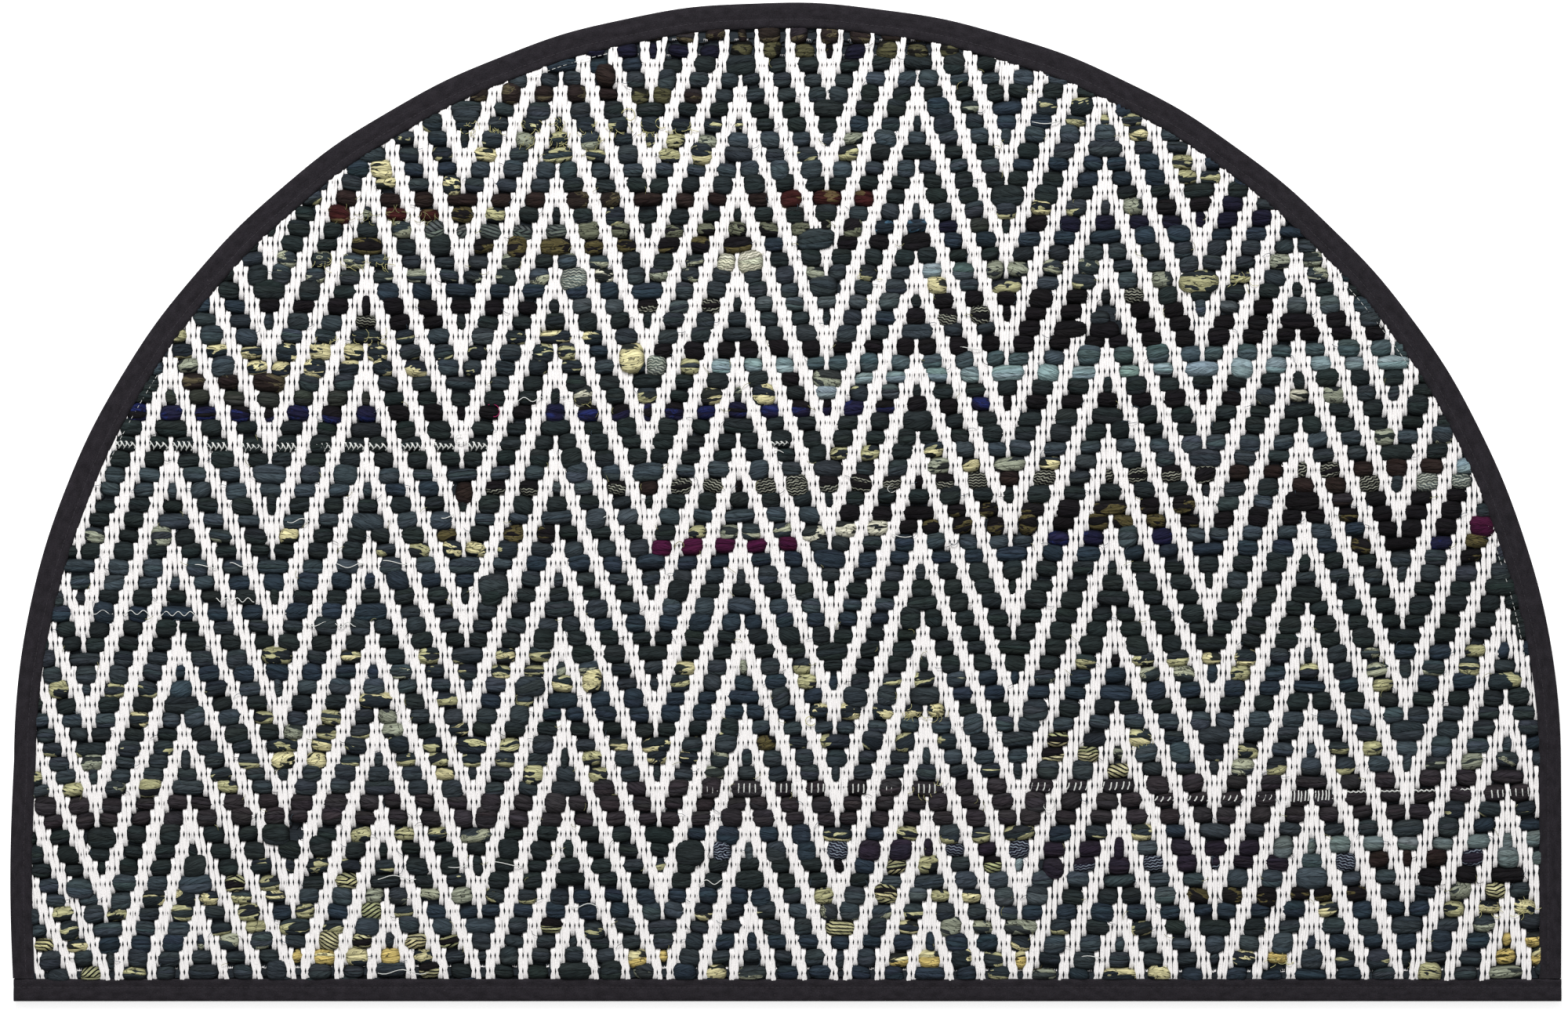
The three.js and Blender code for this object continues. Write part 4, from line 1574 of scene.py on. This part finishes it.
# Sizes of the noise, as counts per millimetre along a cloth and over it. On yarns the first is along
# them, and the second counts over a yarn's own width.
PRINT_SCALE = (0.05, 0.1)
WRINKLE_SCALE = (0.17, 0.5)
CREASE_SCALE = (0.07, 0.34)
CLOTH_THREAD_SCALE = (2.2, 2.2)
CORE_TONE_SCALE = (0.03, 0.11)
CORE_BUMP_SCALE = (0.15, 1.0)
FIBRE_SCALE = (1.1, 4.0)
TWIST_SCALE = (3.0, 3.0)
TAPE_WEAVE_SCALE = (1.6, 1.6)
LINT_SCALE = (0.9, 0.9)
MOTTLE_SCALE = (0.16, 0.3)
# Prints: how the level of the noise that shows follows the cover, and the outlines inside the blotches
COVER_SPREAD = 0.36
OUTLINES, OUTLINE_WIDTH, OUTLINE_DARKNESS = 9.0, 0.14, 0.8
CREASE_SHARPNESS = 13.0
# How dark the painted shade gets at ply edges and in the valleys between floats
EDGE_SHADE, DEPTH_SHADE = 0.45, 0.97
LINT_LEVEL, LINT_SHARE = 0.74, 0.35


def printed_colour(g):
    """The ground of a cloth with blotches of its ink, outlined in black."""
    cover = g.attribute("cover", "Fac")
    printed = g.math("GREATER_THAN", cover, 0.01)
    drawn = g.noise(g.uv(PRINT_SCALE), detail=3.0)
    least = g.ramp(0.5, g.math("SUBTRACT", 0.5, cover), COVER_SPREAD)
    shown = g.times(printed, g.math("GREATER_THAN", drawn, least))
    colour = g.mix(shown, g.attribute("ground"), g.attribute("ink"))
    line = g.math("LESS_THAN", g.math("FRACT", g.times(drawn, OUTLINES)), OUTLINE_WIDTH)
    return g.mix(g.times(g.times(line, shown), OUTLINE_DARKNESS), colour, opaque(24, 24, 27))


def rag_material():
    """Printed, knitted and lined cloths, with painted highlights and shade on wrinkles, creases, ply
    edges and valleys.
    """
    g = Graph("rag_cloth")
    colour = printed_colour(g)
    stripes = g.zigzag(wave=3.2, swing=0.9, spacing=2.2, share=0.36)
    colour = g.mix(g.times(stripes, g.attribute("knit", "Fac")), colour, g.attribute("ink"))
    lines = g.zigzag(wave=24.0, swing=5.0, spacing=2.9, share=0.42)
    colour = g.mix(g.times(lines, g.attribute("lined", "Fac")), colour, g.attribute("ink"))
    wrinkle = g.noise(g.uv(WRINKLE_SCALE), detail=3.0)
    # Painted highlights and shade: lighter on the wrinkles' ridges and darker in their hollows, following
    # the wrinkle bump
    colour = g.shade(colour, g.ramp(0.6, wrinkle, 0.8))
    ridges = g.math("ABSOLUTE", g.math("SUBTRACT", g.noise(g.uv(CREASE_SCALE)), 0.5))
    crease = g.math("MULTIPLY", ridges, CREASE_SHARPNESS, clamp=True)
    # Painted shade: thin dark lines along the grooves of the crease bump
    colour = g.shade(colour, g.ramp(0.66, crease, 0.36))
    # Painted shade: darker at ply edges and where floats fall away into the valleys between them
    ply_edge_shade = g.less(g.attribute("edge", "Fac"), EDGE_SHADE)
    valley_shade = g.less(g.attribute("depth", "Fac"), DEPTH_SHADE)
    colour = g.shade(colour, g.times(ply_edge_shade, valley_shade))
    thread = g.noise(g.uv(CLOTH_THREAD_SCALE), detail=1.0)
    normal = g.bump(thread, 0.00012)
    normal = g.bump(wrinkle, 0.0011, normal)
    normal = g.bump(crease, 0.0003, normal)
    return g.finish(colour, normal)


def core_material():
    """Dark cloth in the shadow between the floats."""
    g = Graph("rag_core")
    tone = g.noise(g.uv(CORE_TONE_SCALE), detail=2.0)
    colour = g.mix(tone, opaque(20, 20, 24), opaque(52, 60, 66))
    return g.finish(colour, g.bump(g.noise(g.uv(CORE_BUMP_SCALE)), 0.0008))


def yarn_material():
    """White cotton with fine fibres along it."""
    g = Graph("warp_cotton")
    fibre = g.noise(g.uv(FIBRE_SCALE), detail=2.0)
    colour = g.mix(fibre, opaque(232, 228, 227), opaque(254, 252, 251))
    return g.finish(colour, g.bump(fibre, 0.0003))


def thread_material():
    """Thread in the tint of each one."""
    g = Graph("sewing_thread")
    twist = g.noise(g.uv(TWIST_SCALE), detail=1.0)
    factor = g.ramp(0.8, twist, 0.4)
    return g.finish(g.shade(g.attribute("tint"), factor), g.bump(twist, 0.0001))


def tape_material():
    """Charcoal cotton tape, mottled, with a little pale lint."""
    g = Graph("binding_tape")
    weave = g.noise(g.uv(TAPE_WEAVE_SCALE), detail=2.0)
    lint = g.math("GREATER_THAN", g.noise(g.uv(LINT_SCALE), detail=4.0), LINT_LEVEL)
    colour = g.mix(weave, opaque(14, 12, 15), opaque(48, 45, 50))
    colour = g.mix(g.times(lint, LINT_SHARE), colour, opaque(120, 118, 120))
    mottle = g.noise(g.uv(MOTTLE_SCALE), detail=3.0)
    colour = g.shade(colour, g.ramp(0.3, mottle, 1.6))
    return g.finish(colour, g.bump(weave, 0.0003))


def floor_material():
    """Pale, with a little light of its own, which keeps the backdrop white right up to the rug."""
    g = Graph("pale_floor", roughness=1.0)
    g.shader.inputs["Emission Color"].default_value = (1, 1, 1, 1)
    g.shader.inputs["Emission Strength"].default_value = FLOOR_GLOW
    g.material.cycles.emission_sampling = "NONE"
    return g.finish((0.93, 0.93, 0.93, 1))


# The rug

core = core_piece(core_material())
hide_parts("woven_field")
tape_cloth = tape_material()
arc_tape = tape_piece("arc_tape", *arc_stations(), tape_cloth)
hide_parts("arc_binding")
straight_tape = tape_piece("straight_tape", *straight_stations(), tape_cloth)
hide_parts("straight_binding")

rag_cloth = rag_material()
warp_cotton = yarn_material()
plan = strip_plan()


def add_batches(name, adder, arrays, batches):
    """Splits floats into a few pieces, which keeps each piece's mesh small enough."""
    shares = np.array_split(np.arange(len(arrays[0])), batches)
    for number, chosen in enumerate(shares, start=1):
        adder(f"{name}_{number}", [a[chosen] for a in arrays], chosen)


def add_face(top, float_columns, most_plies, stations, edges, rag_batches, yarn_batches):
    """The floats that show on one face of the rug."""
    face = "top" if top else "under"
    rags, yarns, yarn_x = weave(top)
    if top:
        rags = add_knots(rags)
    rag_arrays, looks = rag_plies(rags, plan, float_columns, most_plies)

    def rag(name, arrays, chosen):
        return rag_piece(name, arrays, [looks[i] for i in chosen], top, rag_cloth)

    def yarn(name, arrays, _):
        return yarn_piece(name, arrays, top, warp_cotton)

    add_batches(f"rag_floats_{face}", rag, rag_arrays, rag_batches)
    yarn_arrays = yarn_floats(yarns, yarn_x, stations, edges)
    add_batches(f"warp_floats_{face}", yarn, yarn_arrays, yarn_batches)


add_face(
    top=True, float_columns=9, most_plies=MOST_PLIES, stations=range(len(YARN_STATIONS)), edges=4,
    rag_batches=3, yarn_batches=2,
)
add_face(
    top=False, float_columns=5, most_plies=1, stations=UNDER_STATIONS, edges=3,
    rag_batches=1, yarn_batches=1,
)

threads = Threads()
tape_stitches(threads, *arc_stations())
tape_stitches(threads, *straight_stations())
old_seam(threads)
top_rags = weave(True)[0]
for row in STITCHED_RAGS:
    stitched_rag(threads, top_rags, row)
for x, pick, size, tint in CURLS:
    curl(threads, x, pick, size, tint)
for pick, start, end, tint in FRAYS:
    fray(threads, pick, start, end, tint, top_rags)
for row in LOOSE_ENDS:
    loose_end(threads, *row)
fuzz(threads, top_rags)
threads.piece("loose_threads", thread_material())

# Floor, light and camera

# The photo, in its pixels
PHOTO_WIDTH = 2000
PHOTO_MM_PER_PIXEL = 900 / 1971
PHOTO_RUG_MIDDLE = 1002.5
PHOTO_EDGE_ROW = 1277
PHOTO_MIDDLE_ROW = 647
# The rest in metres and degrees
HALF_FLOOR = 4
SKY_STRENGTH = 0.46
KEY_PLACE = (-0.4, 2.2, 2.2)
KEY_TURN = (-45, -8, 0)
KEY_SIZE = 1.0
KEY_POWER = 94
CAMERA_HEIGHT = 3.0
SENSOR = 36

corners = [(-HALF_FLOOR, -HALF_FLOOR, 0), (HALF_FLOOR, -HALF_FLOOR, 0)]
corners += [(HALF_FLOOR, HALF_FLOOR, 0), (-HALF_FLOOR, HALF_FLOOR, 0)]
floor_mesh = bpy.data.meshes.new("floor")
floor_mesh.from_pydata(corners, [], [(0, 1, 2, 3)])
floor_mesh.materials.append(floor_material())
floor = bpy.data.objects.new("floor", floor_mesh)
bpy.context.scene.collection.objects.link(floor)

world = bpy.data.worlds.new("studio")
world.use_nodes = True
world.node_tree.nodes["Background"].inputs["Color"].default_value = (1, 1, 1, 1)
world.node_tree.nodes["Background"].inputs["Strength"].default_value = SKY_STRENGTH
bpy.context.scene.world = world

key = bpy.data.lights.new("key", "AREA")
key.shape = "DISK"
key.size = KEY_SIZE
key.energy = KEY_POWER
key_object = bpy.data.objects.new("key", key)
key_object.location = KEY_PLACE
key_object.rotation_euler = [math.radians(degrees) for degrees in KEY_TURN]
bpy.context.scene.collection.objects.link(key_object)

camera = bpy.data.cameras.new("camera")
camera.sensor_width = SENSOR
camera.lens = SENSOR * CAMERA_HEIGHT / (PHOTO_WIDTH * PHOTO_MM_PER_PIXEL * MM)
camera_object = bpy.data.objects.new("camera", camera)
camera_x = (PHOTO_WIDTH / 2 - PHOTO_RUG_MIDDLE) * PHOTO_MM_PER_PIXEL * MM
camera_y = (PHOTO_EDGE_ROW - PHOTO_MIDDLE_ROW) * PHOTO_MM_PER_PIXEL * MM + cad_low[1]
camera_object.location = (camera_x, camera_y, CAMERA_HEIGHT)
bpy.context.scene.collection.objects.link(camera_object)
bpy.context.scene.camera = camera_object
bpy.context.scene.view_settings.view_transform = "Standard"
